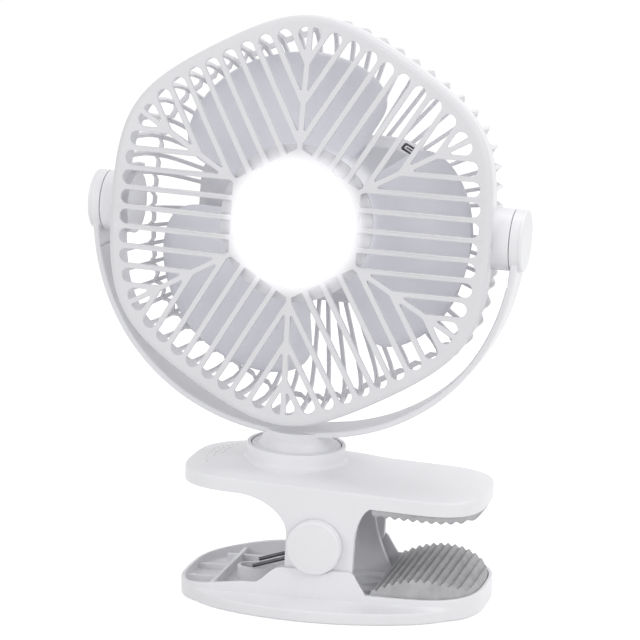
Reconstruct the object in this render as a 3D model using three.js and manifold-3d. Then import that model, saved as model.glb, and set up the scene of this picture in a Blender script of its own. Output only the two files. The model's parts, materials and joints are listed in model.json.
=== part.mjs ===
// Clip fan: a caged three-blade fan head with a lamp in its hub, hung in a semicircular yoke that
// swivels on the upper jaw of a sprung clip. Millimetres, +Z up, +X towards the jaw tips, front -Y.
// The origin is on the underside of the lower jaw, straight below the jaw hinge.
import * as THREE from 'three';
import { mergeVertices } from 'three/addons/utils/BufferGeometryUtils.js';
import Module from 'manifold-3d';

const wasm = await Module();
wasm.setup();

// ---------------------------------------------------------------- driving dimensions
const gap = 0.3; // clearance between pieces that touch or slide
const jawTilt = 3; // degrees the upper jaw leans to its tip when the clip is shut
const swivelTurn = 0; // degrees the yoke is turned on the clip
const headTilt = 5; // degrees the head leans back
const rotorTurn = -12; // degrees, where the first blade stands

const clipHalfLength = 70;
const clipCentreX = 1.4;
const clipSharpness = 3; // the higher, the squarer the clip's round ends
const plateHalfWidth = 32;
const trayOverhang = 0.8; // how much further than the plate the tray reaches
const trayWall = 1.7;
const trayHalfLength = clipHalfLength + trayOverhang;
const trayHalfWidth = plateHalfWidth + gap + trayWall; // the ears slide inside the tray's walls
const trayHeight = 9.8;
const trayEndHeight = 7.5; // the rim at the handle's end
const trayHandleHeight = 12.2; // the rim where the handle meets the saddle
const trayHandleX = -30;
const trayFloor = 3;
const trayEdge = 0.8;
const footBulge = 14; // how far the foot spreads at its middle
const footHalfLength = 58;
const footHeight = 5.3;
const footLedgeHeight = 6.8; // where the foot's ledge meets the wall
const trayRibWidth = 1.6;
const trayRibDrop = 2;
const crossRibX = -51;
const endRibOffset = 9;
const channelOffset = 24;
const channelStartX = -58;
const channelEndX = -21;
const ringCentreX = -36;
const ringHalfLength = 10;
const ringHalfWidth = 6.2;
const ringWall = 1.6;
const ledgeOffsets = [-13, 1, 15];
const ledgeStartX = 3;
const ledgeHeight = 4;
const ledgeWidth = 6;

const hingeHeight = 30.7;
const hingePinRadius = 4;
const hingePinHeadRadius = 6.5;
const hingePinHeadThick = 1.6;
const earThickness = 3.4;
const upperEarLeft = 14;
const upperEarRight = 17.4;
const upperEarDrop = 13;
const upperEarCorner = 3;
const lowerEarRadius = 13.6;
const saddleHeight = 20;
const saddleLeft = -16;
const saddleRight = 17.5;
const saddleFootRight = 24;
const capRadius = 11.5;
const capDepth = 5;
const capEdge = 1;

const plateTopAboveHinge = 26.6; // the crease round the plate's top
const plateDepth = 6.8;
const plateSkin = 2.4;
const plateEdge = 1.2;
const plateCrown = 1.2;
const plateCrownInset = 9;
const plateRimWall = 2.6;
const swivelX = -19.5;

const padStartX = 24.5;
const lowerPadRibs = 13;
const lowerPadArch = 6.8;
const lowerPadEdgeHeight = 1.4;
const lowerPadRibDepth = 1.4;
const lowerPadTaper = 3;
const upperPadTeeth = 11;
const upperPadThickness = 2.2;
const upperPadToothDepth = 1.3;
const upperPadInset = 1.4;

const springWireRadius = 0.9;
const springCoilRadius = 8;
const springPitch = 2.7;
const springFullCurls = 3;
const springStepsPerCurl = 8;
const springSides = 5;
const springLegY = 5.4; // the legs rest on the ring's side walls
const springLowerEndX = -37;
const springLowerSlope = 17.5; // degrees
const springUpperSlope = 25.4; // degrees
const springCorner = 2;

const socketOuterRadius = 22.6;
const socketWall = 1.8;
const socketHeight = 11;
const socketFloor = 6;
const socketFlareRadius = 30.5;
const socketFlareHeight = 6.2;
const spindleRadius = 6;
const retainerRadius = 10;
const retainerThickness = 1.8;
const neckRadius = 15.5;
const neckFlare = 1.5;
const pivotAboveSocket = 103.4;

const headFlat = 87; // half the head's width across flats
const pivotBossLength = 7.2;
const pivotBossRoot = 9.5; // how far the boss reaches into the head's side
const pivotDiscInnerX = headFlat + pivotBossLength;
const pivotDiscRadius = 13.8;
const pivotPinRadius = 3;
const pivotCapThickness = 1.7;
const pivotCapSpigot = 1;
const pivotHeadRadius = 5;
const pivotHeadThickness = 1.4;
const bossEndX = pivotDiscInnerX - gap;
const bossStartX = headFlat - pivotBossRoot;
const yokeClearance = 1; // how far the strap lies outside the discs' inner faces
const yokeInnerRadius = pivotDiscInnerX + yokeClearance;
const yokeThickness = 3;
const yokeSharpness = 2.12; // 2 is a round strap; the higher, the fuller its lower sides
const yokeStrapSteps = 36;
const yokeWidth = 21;
const yokeEdge = 0.7;

const cornerSharpness = 7.2; // the higher, the closer the rounded hexagon is to a true one
const outlineSteps = 60;
const lensSteps = 30;
const ribPitch = 8.8;
const ribWidth = 2.3;
const slotEndInset = 4.8; // the slots stop short of the head's flat
const slotEnd = headFlat - slotEndInset;
const halfSide = slotEnd * Math.tan(Math.PI / 6);
const slotsPerHalfSide = Math.floor((halfSide - ribWidth) / ribPitch);
const slotEndSteps = 3;
const lensFlat = 27.5;
const hubWall = 2.3;
const hubFlat = lensFlat + hubWall;
const faceCentreDepth = 25; // how far the middle of the face lies in front of the pivots
const faceCurve = 0.0007; // fall of the domed face per squared radius
const faceThickness = 3.2;
const partingDepth = 14.5;
const frontWall = 2.2;
const bandInset = 3;
const bandStart = headFlat - bandInset;
const lensRise = 1.6;
const lensBackDepth = 21.3;

const lampCupRadius = 35;
const lampCupFront = 20.7;
const lampCupBack = 11.5;
const boardRadius = 25.5;
const boardThickness = 1.6;

const guardRibs = 62;
const guardRibWidth = 1.8;
const guardWall = 2.8;
const guardInset = 0.6; // the guard's front band lies inside the grille's rim
const guardShoulderInset = 1;
const guardShoulderDepth = -14;
const guardRingInset = 3.5;
const guardRingDepth = -22.5;
const guardRingWidth = 1.8;
const guardBendInset = 12;
const guardBendDepth = -31.4;
const guardBackDepth = -33.4;
const guardRoundInner = 36.6;
const guardRoundBand = 3;
const guardHexFrom = 45;
const guardHexTo = 72;
const bossHalfAngle = 10.5;
const bossRows = 2;

const housingHalfWidth = 58;
const housingHalfHeight = 36;
const housingCorner = 26;
const housingFront = -17.5;
const housingBack = -29.2;
const portWidth = 13;
const portHeight = 7;
const portDepth = 6;
const portX = 33;
const coverBack = -35.4;
const coverFront = housingBack - gap;
const buttonRadius = 5;
const buttonSpacing = 18;
const buttonProud = 1.8;
const buttonLength = 4.6;
const motorRadius = 16.5;
const motorSeatDepth = 8;
const motorFront = -4;
const shaftRadius = 1.5;

const rotorHubRadius = 21;
const rotorHubWall = 2.4;
const rotorHubFront = 7;
const rotorHubBack = -13;
const bladeCount = 3;
const bladeTip = 75;
const bladeHalfAngle = 49;
const bladeRoundness = 4;
const bladeThickness = 1.8;
const bladeMidDepth = -4;
const bladeRise = 9;
const bladeTipRise = 4.5;
const bladeCamber = 2.4;
const bladeRadialSteps = 8;
const bladeAngleSteps = 6;

// ---------------------------------------------------------------- materials
const plastic = (color, roughness) => new THREE.MeshStandardMaterial({ color, roughness, metalness: 0 });
const whitePlastic = plastic(0xe9e9ed, 0.4);
const bladePlastic = plastic(0xcfcfd8, 0.45);
const greyRubber = plastic(0x9c9c9e, 0.85);
const lampPlastic = plastic(0xffffff, 0.3);
const boardGreen = plastic(0xe4e8e2, 0.6);
const buttonPlastic = plastic(0xd8d8de, 0.5);
const steel = new THREE.MeshStandardMaterial({ color: 0x55575c, roughness: 0.35, metalness: 1 });

// ---------------------------------------------------------------- solids
const radians = THREE.MathUtils.degToRad;

/** Welds a geometry's vertices, drops collapsed faces and turns it right side out. */
function welded(geometry) {
  const bare = geometry.clone();
  bare.deleteAttribute('normal');
  bare.deleteAttribute('uv');
  const merged = mergeVertices(bare, 1e-4);
  const position = merged.attributes.position;
  const [a, b, c] = [new THREE.Vector3(), new THREE.Vector3(), new THREE.Vector3()];
  const faces = [];
  let volume = 0;
  for (let i = 0; i < merged.index.count; i += 3) {
    const face = [merged.index.getX(i), merged.index.getX(i + 1), merged.index.getX(i + 2)];
    if (new Set(face).size < 3) continue;
    a.fromBufferAttribute(position, face[0]);
    b.fromBufferAttribute(position, face[1]);
    c.fromBufferAttribute(position, face[2]);
    volume += a.dot(b.cross(c));
    faces.push(face);
  }
  merged.setIndex(faces.flatMap(([p, q, r]) => (volume < 0 ? [p, r, q] : [p, q, r])));
  return merged;
}

function toSolid(geometry) {
  const mesh = welded(geometry);
  const vertProperties = new Float32Array(mesh.attributes.position.array);
  const triVerts = new Uint32Array(mesh.index.array);
  return new wasm.Manifold(new wasm.Mesh({ numProp: 3, vertProperties, triVerts }));
}

function fromSolid(solid) {
  const { vertProperties, triVerts } = solid.getMesh();
  const geometry = new THREE.BufferGeometry();
  geometry.setAttribute('position', new THREE.BufferAttribute(vertProperties, 3));
  geometry.setIndex(new THREE.BufferAttribute(triVerts, 1));
  return geometry;
}

/** Joins the first list of geometries and takes the second list away. */
function shaped(added, removed = []) {
  const whole = added.map(toSolid).reduce((sum, solid) => sum.add(solid));
  return fromSolid(removed.map(toSolid).reduce((left, solid) => left.subtract(solid), whole));
}

/** Turns a profile of [radius, height] pairs about the Z axis. */
function revolved(profile, segments = 24) {
  const points = profile.map(([r, z]) => new THREE.Vector2(r, z));
  return new THREE.LatheGeometry(points, segments).rotateX(Math.PI / 2);
}

/** Turns a profile of [radius, depth in front] pairs about the head's own axis. */
function revolvedFront(profile, segments = 28) {
  const points = profile.map(([r, depth]) => new THREE.Vector2(r, -depth));
  return new THREE.LatheGeometry(points, segments);
}

/** Turns a profile of [radius, x] pairs about the X axis. */
const revolvedAlongX = (profile, segments = 24) => revolved(profile, segments).rotateY(Math.PI / 2);

/** Turns a profile of [radius, y] pairs about the Y axis. */
const revolvedAlongY = (profile, segments = 24) => revolved(profile, segments).rotateX(-Math.PI / 2);

/** A plain drum profile, for the functions above. */
const drum = (radius, from, to) => [[0, from], [radius, from], [radius, to], [0, to]];

/** A drum profile with a rounded edge at its far end. */
function cap(radius, from, to, edge) {
  const side = Math.sign(to - from);
  const bend = edge * (1 - Math.SQRT1_2);
  return [[0, from], [radius, from], [radius, to - side * edge],
    [radius - bend, to - side * bend], [radius - edge, to], [0, to]];
}

/** Extrudes points of the XZ plane along Y, centred on middleY. */
function extrudedAlongY(shape, width, middleY = 0, curveSegments = 12, bevel = 0) {
  const edge = { bevelSize: bevel, bevelThickness: bevel, bevelOffset: -bevel, bevelSegments: 1 };
  const settings = { depth: width - 2 * bevel, curveSegments, bevelEnabled: bevel > 0, ...edge };
  const solid = new THREE.ExtrudeGeometry(shape, settings).rotateX(Math.PI / 2);
  return solid.translate(0, middleY + width / 2 - bevel, 0);
}

function box([x0, x1], [y0, y1], [z0, z1]) {
  const solid = new THREE.BoxGeometry(x1 - x0, y1 - y0, z1 - z0);
  return solid.translate((x0 + x1) / 2, (y0 + y1) / 2, (z0 + z1) / 2);
}

/** Skins a stack of outlines, each {z, points}, into one closed body; z may depend on x. */
function lofted(sections) {
  const count = sections[0].points.length;
  const heightAt = (z, x) => (typeof z === 'function' ? z(x) : z);
  const corners = sections.flatMap(({ z, points }) => points.flatMap(([x, y]) => [x, y, heightAt(z, x)]));
  const faces = [];
  for (let level = 0; level + 1 < sections.length; level += 1) {
    for (let i = 0; i < count; i += 1) {
      const [a, b] = [level * count + i, level * count + ((i + 1) % count)];
      faces.push(a, b, b + count, a, b + count, a + count);
    }
  }
  const flat = sections[0].points.map(([x, y]) => new THREE.Vector2(x, y));
  const last = (sections.length - 1) * count;
  for (const [a, b, c] of THREE.ShapeUtils.triangulateShape(flat, [])) {
    faces.push(c, b, a, last + a, last + b, last + c);
  }
  const geometry = new THREE.BufferGeometry();
  geometry.setAttribute('position', new THREE.Float32BufferAttribute(corners, 3));
  geometry.setIndex(faces);
  return geometry;
}

/** A point of a squarish circle of radius 1: round at sharpness 2, squarer above it. */
function squarishPoint(angle, sharpness) {
  const squared = (value) => Math.sign(value) * Math.abs(value) ** (2 / sharpness);
  return [squared(Math.cos(angle)), squared(Math.sin(angle))];
}

/** Half of an outline's round end, from its front to its back: a squarish arc round [centreX, 0]. */
function roundEnd(centreX, radius, steps = 10) {
  return Array.from({ length: steps + 1 }, (_, i) => {
    const [x, y] = squarishPoint(radians(-90 + (180 * i) / steps), clipSharpness);
    return [centreX + radius * x, radius * y];
  });
}

/** The clip's outline: straight sides and squarish round ends; its sides can swell into a foot. */
function clipOutline(halfLength, halfWidth, { bulge = 0, sideSteps = 1 } = {}) {
  const straight = halfLength - halfWidth;
  const points = [];
  for (const end of [1, -1]) {
    points.push(...roundEnd(straight, halfWidth).map(([x, y]) => [end * x, end * y]));
    for (let i = 1; i < sideSteps; i += 1) {
      points.push([end * straight * (1 - (2 * i) / sideSteps), end * halfWidth]);
    }
  }
  return points.map(([x, y]) => {
    const swell = bulge * Math.max(0, 1 - (x / footHalfLength) ** 2);
    return [x + clipCentreX, y + Math.sign(y) * swell];
  });
}

/** The rounded hexagon's radius at an angle, for a flat at radius 1: flats left and right. */
function hexFactor(angle) {
  const sides = [0, 60, 120].map((side) => Math.abs(Math.cos(angle - radians(side))) ** cornerSharpness);
  return sides.reduce((sum, side) => sum + side) ** (-1 / cornerSharpness);
}

/** Moves a round solid's vertices out into the rounded hexagon; share(r) is 0 for round, 1 for hexagon. */
function hexed(geometry, share = () => 1) {
  const position = geometry.attributes.position;
  for (let i = 0; i < position.count; i += 1) {
    const [x, z] = [position.getX(i), position.getZ(i)];
    const grow = 1 + (hexFactor(Math.atan2(z, x)) - 1) * share(Math.hypot(x, z));
    position.setXYZ(i, x * grow, position.getY(i), z * grow);
  }
  return geometry;
}

// ---------------------------------------------------------------- lower jaw
const upperEarY = plateHalfWidth - earThickness / 2;
const lowerEarY = upperEarY - earThickness - gap;
const upperEarOuter = plateHalfWidth;

/** The tray's rim rises along the handle from its end to the saddle and is level under the pad. */
function rimHeight(x) {
  const rise = THREE.MathUtils.smoothstep(x, clipCentreX - trayHalfLength, trayHandleX);
  const fall = THREE.MathUtils.smoothstep(x, trayHandleX, saddleRight);
  const handle = THREE.MathUtils.lerp(trayEndHeight, trayHandleHeight, rise);
  return THREE.MathUtils.lerp(handle, trayHeight, fall);
}

function trayShell() {
  const outline = (inset, bulge) => {
    return clipOutline(trayHalfLength - inset, trayHalfWidth - inset, { bulge, sideSteps: 9 });
  };
  return lofted([
    { z: 0, points: outline(trayEdge, footBulge) },
    { z: trayEdge, points: outline(0, footBulge) },
    { z: footHeight, points: outline(0, footBulge) },
    { z: footLedgeHeight, points: outline(0, 0) },
    { z: (x) => rimHeight(x) - trayEdge / 2, points: outline(0, 0) },
    { z: rimHeight, points: outline(trayEdge / 2, 0) },
  ]);
}

function trayPocket() {
  const points = clipOutline(trayHalfLength - trayWall, trayHalfWidth - trayWall);
  return lofted([{ z: trayFloor, points }, { z: hingeHeight, points }]);
}

/** The raised wall between the tray's rim and the hinge, one on each side, outside the upper ear. */
function saddle(side) {
  const top = saddleHeight;
  const foot = rimHeight(trayHandleX) - 1;
  const shape = new THREE.Shape();
  shape.moveTo(trayHandleX, trayFloor);
  shape.lineTo(trayHandleX, foot);
  shape.bezierCurveTo(trayHandleX + 6, foot + 1.5, saddleLeft - 5, top - 0.5, saddleLeft, top);
  shape.lineTo(saddleRight, top);
  const [footX, footZ] = [saddleFootRight, trayHeight - 1];
  shape.bezierCurveTo(saddleRight + 1, top - 3, footX - 2, footZ + 3, footX, footZ);
  shape.lineTo(saddleFootRight, trayFloor);
  return extrudedAlongY(shape, trayWall, side * (trayHalfWidth - trayWall / 2), 5);
}

function lowerEar(side) {
  const shape = new THREE.Shape();
  shape.moveTo(-24, 1.5);
  shape.bezierCurveTo(-20, trayHeight, -lowerEarRadius, trayHeight * 2, -lowerEarRadius, hingeHeight);
  shape.absarc(0, hingeHeight, lowerEarRadius, Math.PI, 0, true);
  shape.bezierCurveTo(lowerEarRadius, trayHeight * 2, 19, trayHeight, 22, 1.5);
  return extrudedAlongY(shape, earThickness, side * lowerEarY, 7);
}

/** Upright ribs on the tray's floor: a cross rib, end ribs, side channels and low ledges. */
function trayRibs() {
  const topAt = (x) => rimHeight(x) - trayRibDrop;
  const bottom = trayFloor - 0.5;
  const half = trayRibWidth / 2;
  const reach = trayHalfWidth - trayWall;
  const endX = clipCentreX - trayHalfLength + trayWall / 2;
  const crossRib = box([crossRibX - half, crossRibX + half], [-reach, reach], [bottom, topAt(crossRibX)]);
  const endRibs = [-1, 1].map((side) => box([endX, crossRibX],
    [side * endRibOffset - half, side * endRibOffset + half], [bottom, topAt(endX)]));
  const channels = [-1, 1].map((side) => box([channelStartX, channelEndX],
    [side * channelOffset - half, side * channelOffset + half], [bottom, topAt(channelStartX)]));
  const ledges = ledgeOffsets.map((y, i) => box([ledgeStartX, padStartX - gap],
    [y - ledgeWidth / 2, y + ledgeWidth / 2], [bottom, trayFloor + ledgeHeight - i]));
  return [crossRib, ...endRibs, ...channels, ...ledges];
}

function ellipse(halfLength, halfWidth, centreX) {
  const curve = new THREE.EllipseCurve(centreX, 0, halfLength, halfWidth);
  return curve.getPoints(20).slice(0, -1).map(({ x, y }) => [x, y]);
}

function lowerJaw() {
  const wireDrop = springWireRadius / Math.cos(radians(springLowerSlope)) + gap;
  const ringTop = hingeHeight + springLowerEnd[1] - wireDrop;
  const ringOuter = ellipse(ringHalfLength, ringHalfWidth, ringCentreX);
  const ringInner = ellipse(ringHalfLength - ringWall, ringHalfWidth - ringWall, ringCentreX);
  const tray = shaped([trayShell()], [trayPocket()]);
  const ring = lofted([{ z: trayFloor - 0.5, points: ringOuter }, { z: ringTop, points: ringOuter }]);
  const ringBore = lofted([{ z: trayFloor + 1, points: ringInner }, { z: ringTop + 1, points: ringInner }]);
  const pinBore = revolvedAlongY(drum(hingePinRadius + gap, -plateHalfWidth, plateHalfWidth), 24);
  const capRooms = [-1, 1].map((side) => revolvedAlongY(
    drum(capRadius + 2 * gap, plateHalfWidth, trayHalfWidth + 1).map(([r, y]) => [r, side * y])));
  const cuts = [pinBore, ...capRooms].map((cut) => cut.translate(0, 0, hingeHeight));
  const walls = [-1, 1].flatMap((side) => [saddle(side), lowerEar(side)]);
  return shaped([tray, ...walls, ...trayRibs(), ring], [ringBore, ...cuts]);
}

// ---------------------------------------------------------------- pads
/** A D-shaped outline: straight at startX, round at the jaw tip. */
function padOutline(startX, halfLength, halfWidth) {
  const end = roundEnd(clipCentreX + halfLength - halfWidth, halfWidth);
  return [[startX, halfWidth], [startX, -halfWidth], ...end];
}

/** A strip of the XZ plane from a flat side to an edge of evenly spaced round-topped ridges. */
function ridgedStrip(startX, endX, ridges, depth, base, crestAt) {
  const pitch = (endX - startX) / ridges;
  const shape = new THREE.Shape();
  shape.moveTo(startX, base);
  for (let i = 0; i < ridges; i += 1) {
    const x = startX + pitch * i;
    for (const [along, drop] of [[0, 1], [0.3, 0.25], [0.5, 0], [0.7, 0.25]]) {
      const at = x + pitch * along;
      shape.lineTo(at, crestAt(at) - Math.sign(crestAt(at) - base) * depth * drop);
    }
  }
  shape.lineTo(endX, crestAt(endX) - Math.sign(crestAt(endX) - base) * depth);
  shape.lineTo(endX, base);
  return shape;
}

function lowerPad() {
  const inset = trayWall + gap;
  const [halfLength, halfWidth] = [trayHalfLength - inset, trayHalfWidth - inset];
  const endX = clipCentreX + halfLength;
  const bottom = trayFloor + gap;
  const edgeTop = trayHeight + lowerPadEdgeHeight;
  const middle = (padStartX + endX) / 2;
  const crest = (x) => edgeTop + lowerPadArch * (1 - ((x - middle) / (endX - middle)) ** 2);
  const strip = ridgedStrip(padStartX, endX, lowerPadRibs, lowerPadRibDepth, bottom, crest);
  const top = edgeTop + lowerPadArch;
  const body = lofted([
    { z: bottom, points: padOutline(padStartX, halfLength, halfWidth) },
    { z: trayHeight, points: padOutline(padStartX, halfLength, halfWidth) },
    { z: top + 1, points: padOutline(padStartX, halfLength - lowerPadTaper, halfWidth - lowerPadTaper) },
  ]);
  return fromSolid(toSolid(body).intersect(toSolid(extrudedAlongY(strip, 2 * trayHalfWidth))));
}

const plateBottom = plateTopAboveHinge - plateDepth;

function upperPad() {
  const [halfLength, halfWidth] = [clipHalfLength - upperPadInset, plateHalfWidth - upperPadInset];
  const endX = clipCentreX + halfLength;
  const top = plateBottom - gap;
  const crest = () => top - upperPadThickness - upperPadToothDepth;
  const strip = ridgedStrip(padStartX, endX, upperPadTeeth, upperPadToothDepth, top, crest);
  const body = lofted([
    { z: crest() - 1, points: padOutline(padStartX, halfLength - 1, halfWidth - 1) },
    { z: top, points: padOutline(padStartX, halfLength, halfWidth) },
  ]);
  return fromSolid(toSolid(body).intersect(toSolid(extrudedAlongY(strip, 2 * plateHalfWidth))));
}

// ---------------------------------------------------------------- upper jaw, about its hinge
function plateBlock() {
  const outline = (inset) => clipOutline(clipHalfLength - inset, plateHalfWidth - inset);
  const top = plateTopAboveHinge;
  return lofted([
    { z: plateBottom, points: outline(0.4) },
    { z: plateBottom + 0.4, points: outline(0) },
    { z: top - plateEdge, points: outline(0) },
    { z: top - plateEdge * 0.3, points: outline(plateEdge * 0.3) },
    { z: top, points: outline(plateEdge) },
    { z: top + plateCrown * 0.6, points: outline(plateCrownInset * 0.5) },
    { z: top + plateCrown, points: outline(plateCrownInset) },
  ]);
}

/** The hollow under the plate, left of the pad. */
function plateHollow() {
  const outline = clipOutline(clipHalfLength - plateRimWall, plateHalfWidth - plateRimWall);
  const points = outline.map(([x, y]) => [Math.min(x, padStartX - 4), y]);
  const unique = points.filter(([x, y], i) => {
    const [px, py] = points[(i + points.length - 1) % points.length];
    return Math.hypot(x - px, y - py) > 0.01;
  });
  const roof = plateTopAboveHinge - plateSkin;
  return lofted([{ z: plateBottom - 1, points: unique }, { z: roof, points: unique }]);
}

/** An ear that sweeps down from the plate's side wall and ends inside the tray's wall. */
function upperEar(side) {
  const root = plateBottom + 1;
  const [left, right, drop, corner] = [-upperEarLeft, upperEarRight, -upperEarDrop, upperEarCorner];
  const shape = new THREE.Shape();
  shape.moveTo(left - 22, root);
  shape.lineTo(left - 22, plateBottom);
  shape.bezierCurveTo(left - 10, plateBottom - 1, left, plateBottom - 8, left, 3);
  shape.lineTo(left, drop + corner);
  shape.quadraticCurveTo(left, drop, left + corner, drop);
  shape.lineTo(right - corner, drop);
  shape.quadraticCurveTo(right, drop, right, drop + corner);
  shape.lineTo(right, 3);
  shape.bezierCurveTo(right, plateBottom - 9, right + 3, plateBottom - 2, padStartX - 2 * gap, plateBottom);
  shape.lineTo(padStartX - 2 * gap, root);
  return extrudedAlongY(shape, earThickness, side * upperEarY, 7);
}

/** The ring that holds the turning disc, on a flared foot that rises out of the plate. */
function swivelSocket() {
  const top = plateTopAboveHinge;
  const bottom = top - 1;
  const outer = socketOuterRadius;
  const inner = outer - socketWall;
  const bore = spindleRadius + gap;
  const rim = top + socketHeight;
  const edge = 0.6;
  const flare = Array.from({ length: 5 }, (_, i) => {
    const share = i / 4;
    const height = top + gap + socketFlareHeight * share ** 2;
    return [THREE.MathUtils.lerp(socketFlareRadius, outer, share), height];
  });
  return revolved([[bore, bottom], [socketFlareRadius, bottom], ...flare, [outer, rim - edge],
    [outer - edge, rim], [inner, rim], [inner, top + socketFloor], [bore, top + socketFloor],
    [bore, bottom]], 28);
}

function upperJaw() {
  const socket = swivelSocket().translate(swivelX, 0, 0);
  const bore = revolved(drum(spindleRadius + gap, plateBottom - 1, plateTopAboveHinge + plateCrown + 1));
  const pinBore = revolvedAlongY(drum(hingePinRadius + gap, -plateHalfWidth, plateHalfWidth), 24);
  const plate = shaped([plateBlock()], [plateHollow()]);
  return shaped([plate, upperEar(-1), upperEar(1), socket], [bore.translate(swivelX, 0, 0), pinBore]);
}

/** The pin ends inside the caps, with a head at each end to hold the ears together. */
function hingePin() {
  const end = upperEarOuter + gap;
  return revolvedAlongY([[0, -end - hingePinHeadThick], [hingePinHeadRadius, -end - hingePinHeadThick],
    [hingePinHeadRadius, -end], [hingePinRadius, -end], [hingePinRadius, end], [hingePinHeadRadius, end],
    [hingePinHeadRadius, end + hingePinHeadThick], [0, end + hingePinHeadThick]], 24);
}

/** A domed button that snaps over the pin's head; side is -1 for the front. */
function hingeCap(side) {
  const inner = upperEarOuter + gap;
  const pocketEnd = inner + hingePinHeadThick + gap;
  const shell = cap(capRadius, inner, inner + capDepth, capEdge).slice(1);
  const pocket = hingePinHeadRadius + gap;
  const profile = [[0, pocketEnd], [pocket, pocketEnd], [pocket, inner], ...shell];
  return revolvedAlongY(profile.map(([r, y]) => [r, side * y]));
}

// ---------------------------------------------------------------- torsion spring
const springLowerTurn = springLowerSlope - 90;
const springUpperTurn = 90 - springUpperSlope + 360 * springFullCurls;
const coilPoint = (turn) => [Math.cos(radians(turn)), Math.sin(radians(turn))].map((side) => side * springCoilRadius);

/** Where a straight leg that leaves the coil at [x, z] with a slope reaches endX. */
const legEnd = ([x, z], slope, endX) => [endX, z + Math.tan(radians(slope)) * (endX - x)];
const springLowerEnd = legEnd(coilPoint(springLowerTurn), springLowerSlope, springLowerEndX);

/** Where a rising upper leg meets the underside of the tilted plate. */
function upperLegEndX() {
  const [x, z] = coilPoint(springUpperTurn);
  const slope = Math.tan(radians(springUpperSlope));
  const ceiling = (plateTopAboveHinge - plateSkin) / Math.cos(radians(jawTilt));
  const clear = springWireRadius / Math.cos(radians(springUpperSlope)) + gap;
  return (ceiling - z - clear - x * slope) / (Math.tan(radians(jawTilt)) - slope);
}
const springUpperEnd = legEnd(coilPoint(springUpperTurn), -springUpperSlope, upperLegEndX());

/** Centres along the wire's front half: a lower leg, the curls and an upper leg to its bridge's middle. */
function springHalf() {
  const turns = springUpperTurn - springLowerTurn;
  const steps = Math.round((turns / 360) * springStepsPerCurl);
  const curls = Array.from({ length: steps + 1 }, (_, i) => {
    const [x, z] = coilPoint(springLowerTurn + (turns * i) / steps);
    return [x, -springLegY - ((springPitch * turns) / 360) * (i / steps), z];
  });
  const [upperX, upperZ] = springUpperEnd;
  const outerY = curls[steps][1];
  const drop = springCorner * Math.tan(radians(springUpperSlope));
  return [
    [springLowerEnd[0], -springLegY, springLowerEnd[1]],
    ...curls,
    [upperX + springCorner, outerY, upperZ - drop],
    [upperX, outerY + springCorner, upperZ],
  ];
}

/** The whole wire: the front half, then its mirror image back to the other lower leg. */
function springCentres() {
  const front = springHalf();
  const rear = front.map(([x, y, z]) => [x, -y, z]).reverse();
  return [...front, ...rear].map(([x, y, z]) => new THREE.Vector3(x, y, z));
}

function torsionSpring() {
  const centres = springCentres();
  const positions = [];
  const across = new THREE.Vector3();
  centres.forEach((centre, i) => {
    const before = centres[Math.max(0, i - 1)];
    const after = centres[Math.min(centres.length - 1, i + 1)];
    const along = after.clone().sub(before).normalize();
    if (i === 0) across.set(0, 1, 0);
    across.addScaledVector(along, -across.dot(along)).normalize();
    const out = along.clone().cross(across);
    for (let side = 0; side < springSides; side += 1) {
      const angle = (2 * Math.PI * side) / springSides;
      const point = centre.clone().addScaledVector(across, Math.cos(angle) * springWireRadius);
      point.addScaledVector(out, Math.sin(angle) * springWireRadius);
      positions.push(point.x, point.y, point.z);
    }
  });
  const faces = [];
  for (let ring = 0; ring + 1 < centres.length; ring += 1) {
    for (let side = 0; side < springSides; side += 1) {
      const [a, b] = [ring * springSides + side, ring * springSides + ((side + 1) % springSides)];
      faces.push(a, b, b + springSides, a, b + springSides, a + springSides);
    }
  }
  const last = (centres.length - 1) * springSides;
  for (let side = 1; side + 1 < springSides; side += 1) {
    faces.push(0, side + 1, side, last, last + side, last + side + 1);
  }
  const geometry = new THREE.BufferGeometry();
  geometry.setAttribute('position', new THREE.Float32BufferAttribute(positions, 3));
  geometry.setIndex(faces);
  return geometry;
}

/** The least clear gap between parts of the wire more than half a curl apart, on its centres. */
function springLeastGap() {
  const centres = springCentres();
  const apart = springStepsPerCurl / 2;
  let least = Infinity;
  centres.forEach((one, i) => centres.slice(i + apart).forEach((other) => {
    least = Math.min(least, one.distanceTo(other) - 2 * springWireRadius);
  }));
  return least;
}

// ---------------------------------------------------------------- yoke, about the pivots
const socketTopZ = -pivotAboveSocket;
const plateTopZ = socketTopZ - socketHeight;
const yokeOuterRadius = yokeInnerRadius + yokeThickness;
const pivotSinkX = yokeOuterRadius - pivotCapSpigot - pivotHeadThickness - 3 * gap;

function yokeStrap() {
  const arc = (radius) => Array.from({ length: yokeStrapSteps + 1 }, (_, i) => {
    const [x, z] = squarishPoint(Math.PI * (1 + i / yokeStrapSteps), yokeSharpness);
    return new THREE.Vector2(radius * x, radius * z);
  });
  const shape = new THREE.Shape([...arc(yokeOuterRadius), ...arc(yokeInnerRadius).reverse()]);
  return extrudedAlongY(shape, yokeWidth, 0, 1, yokeEdge);
}

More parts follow.
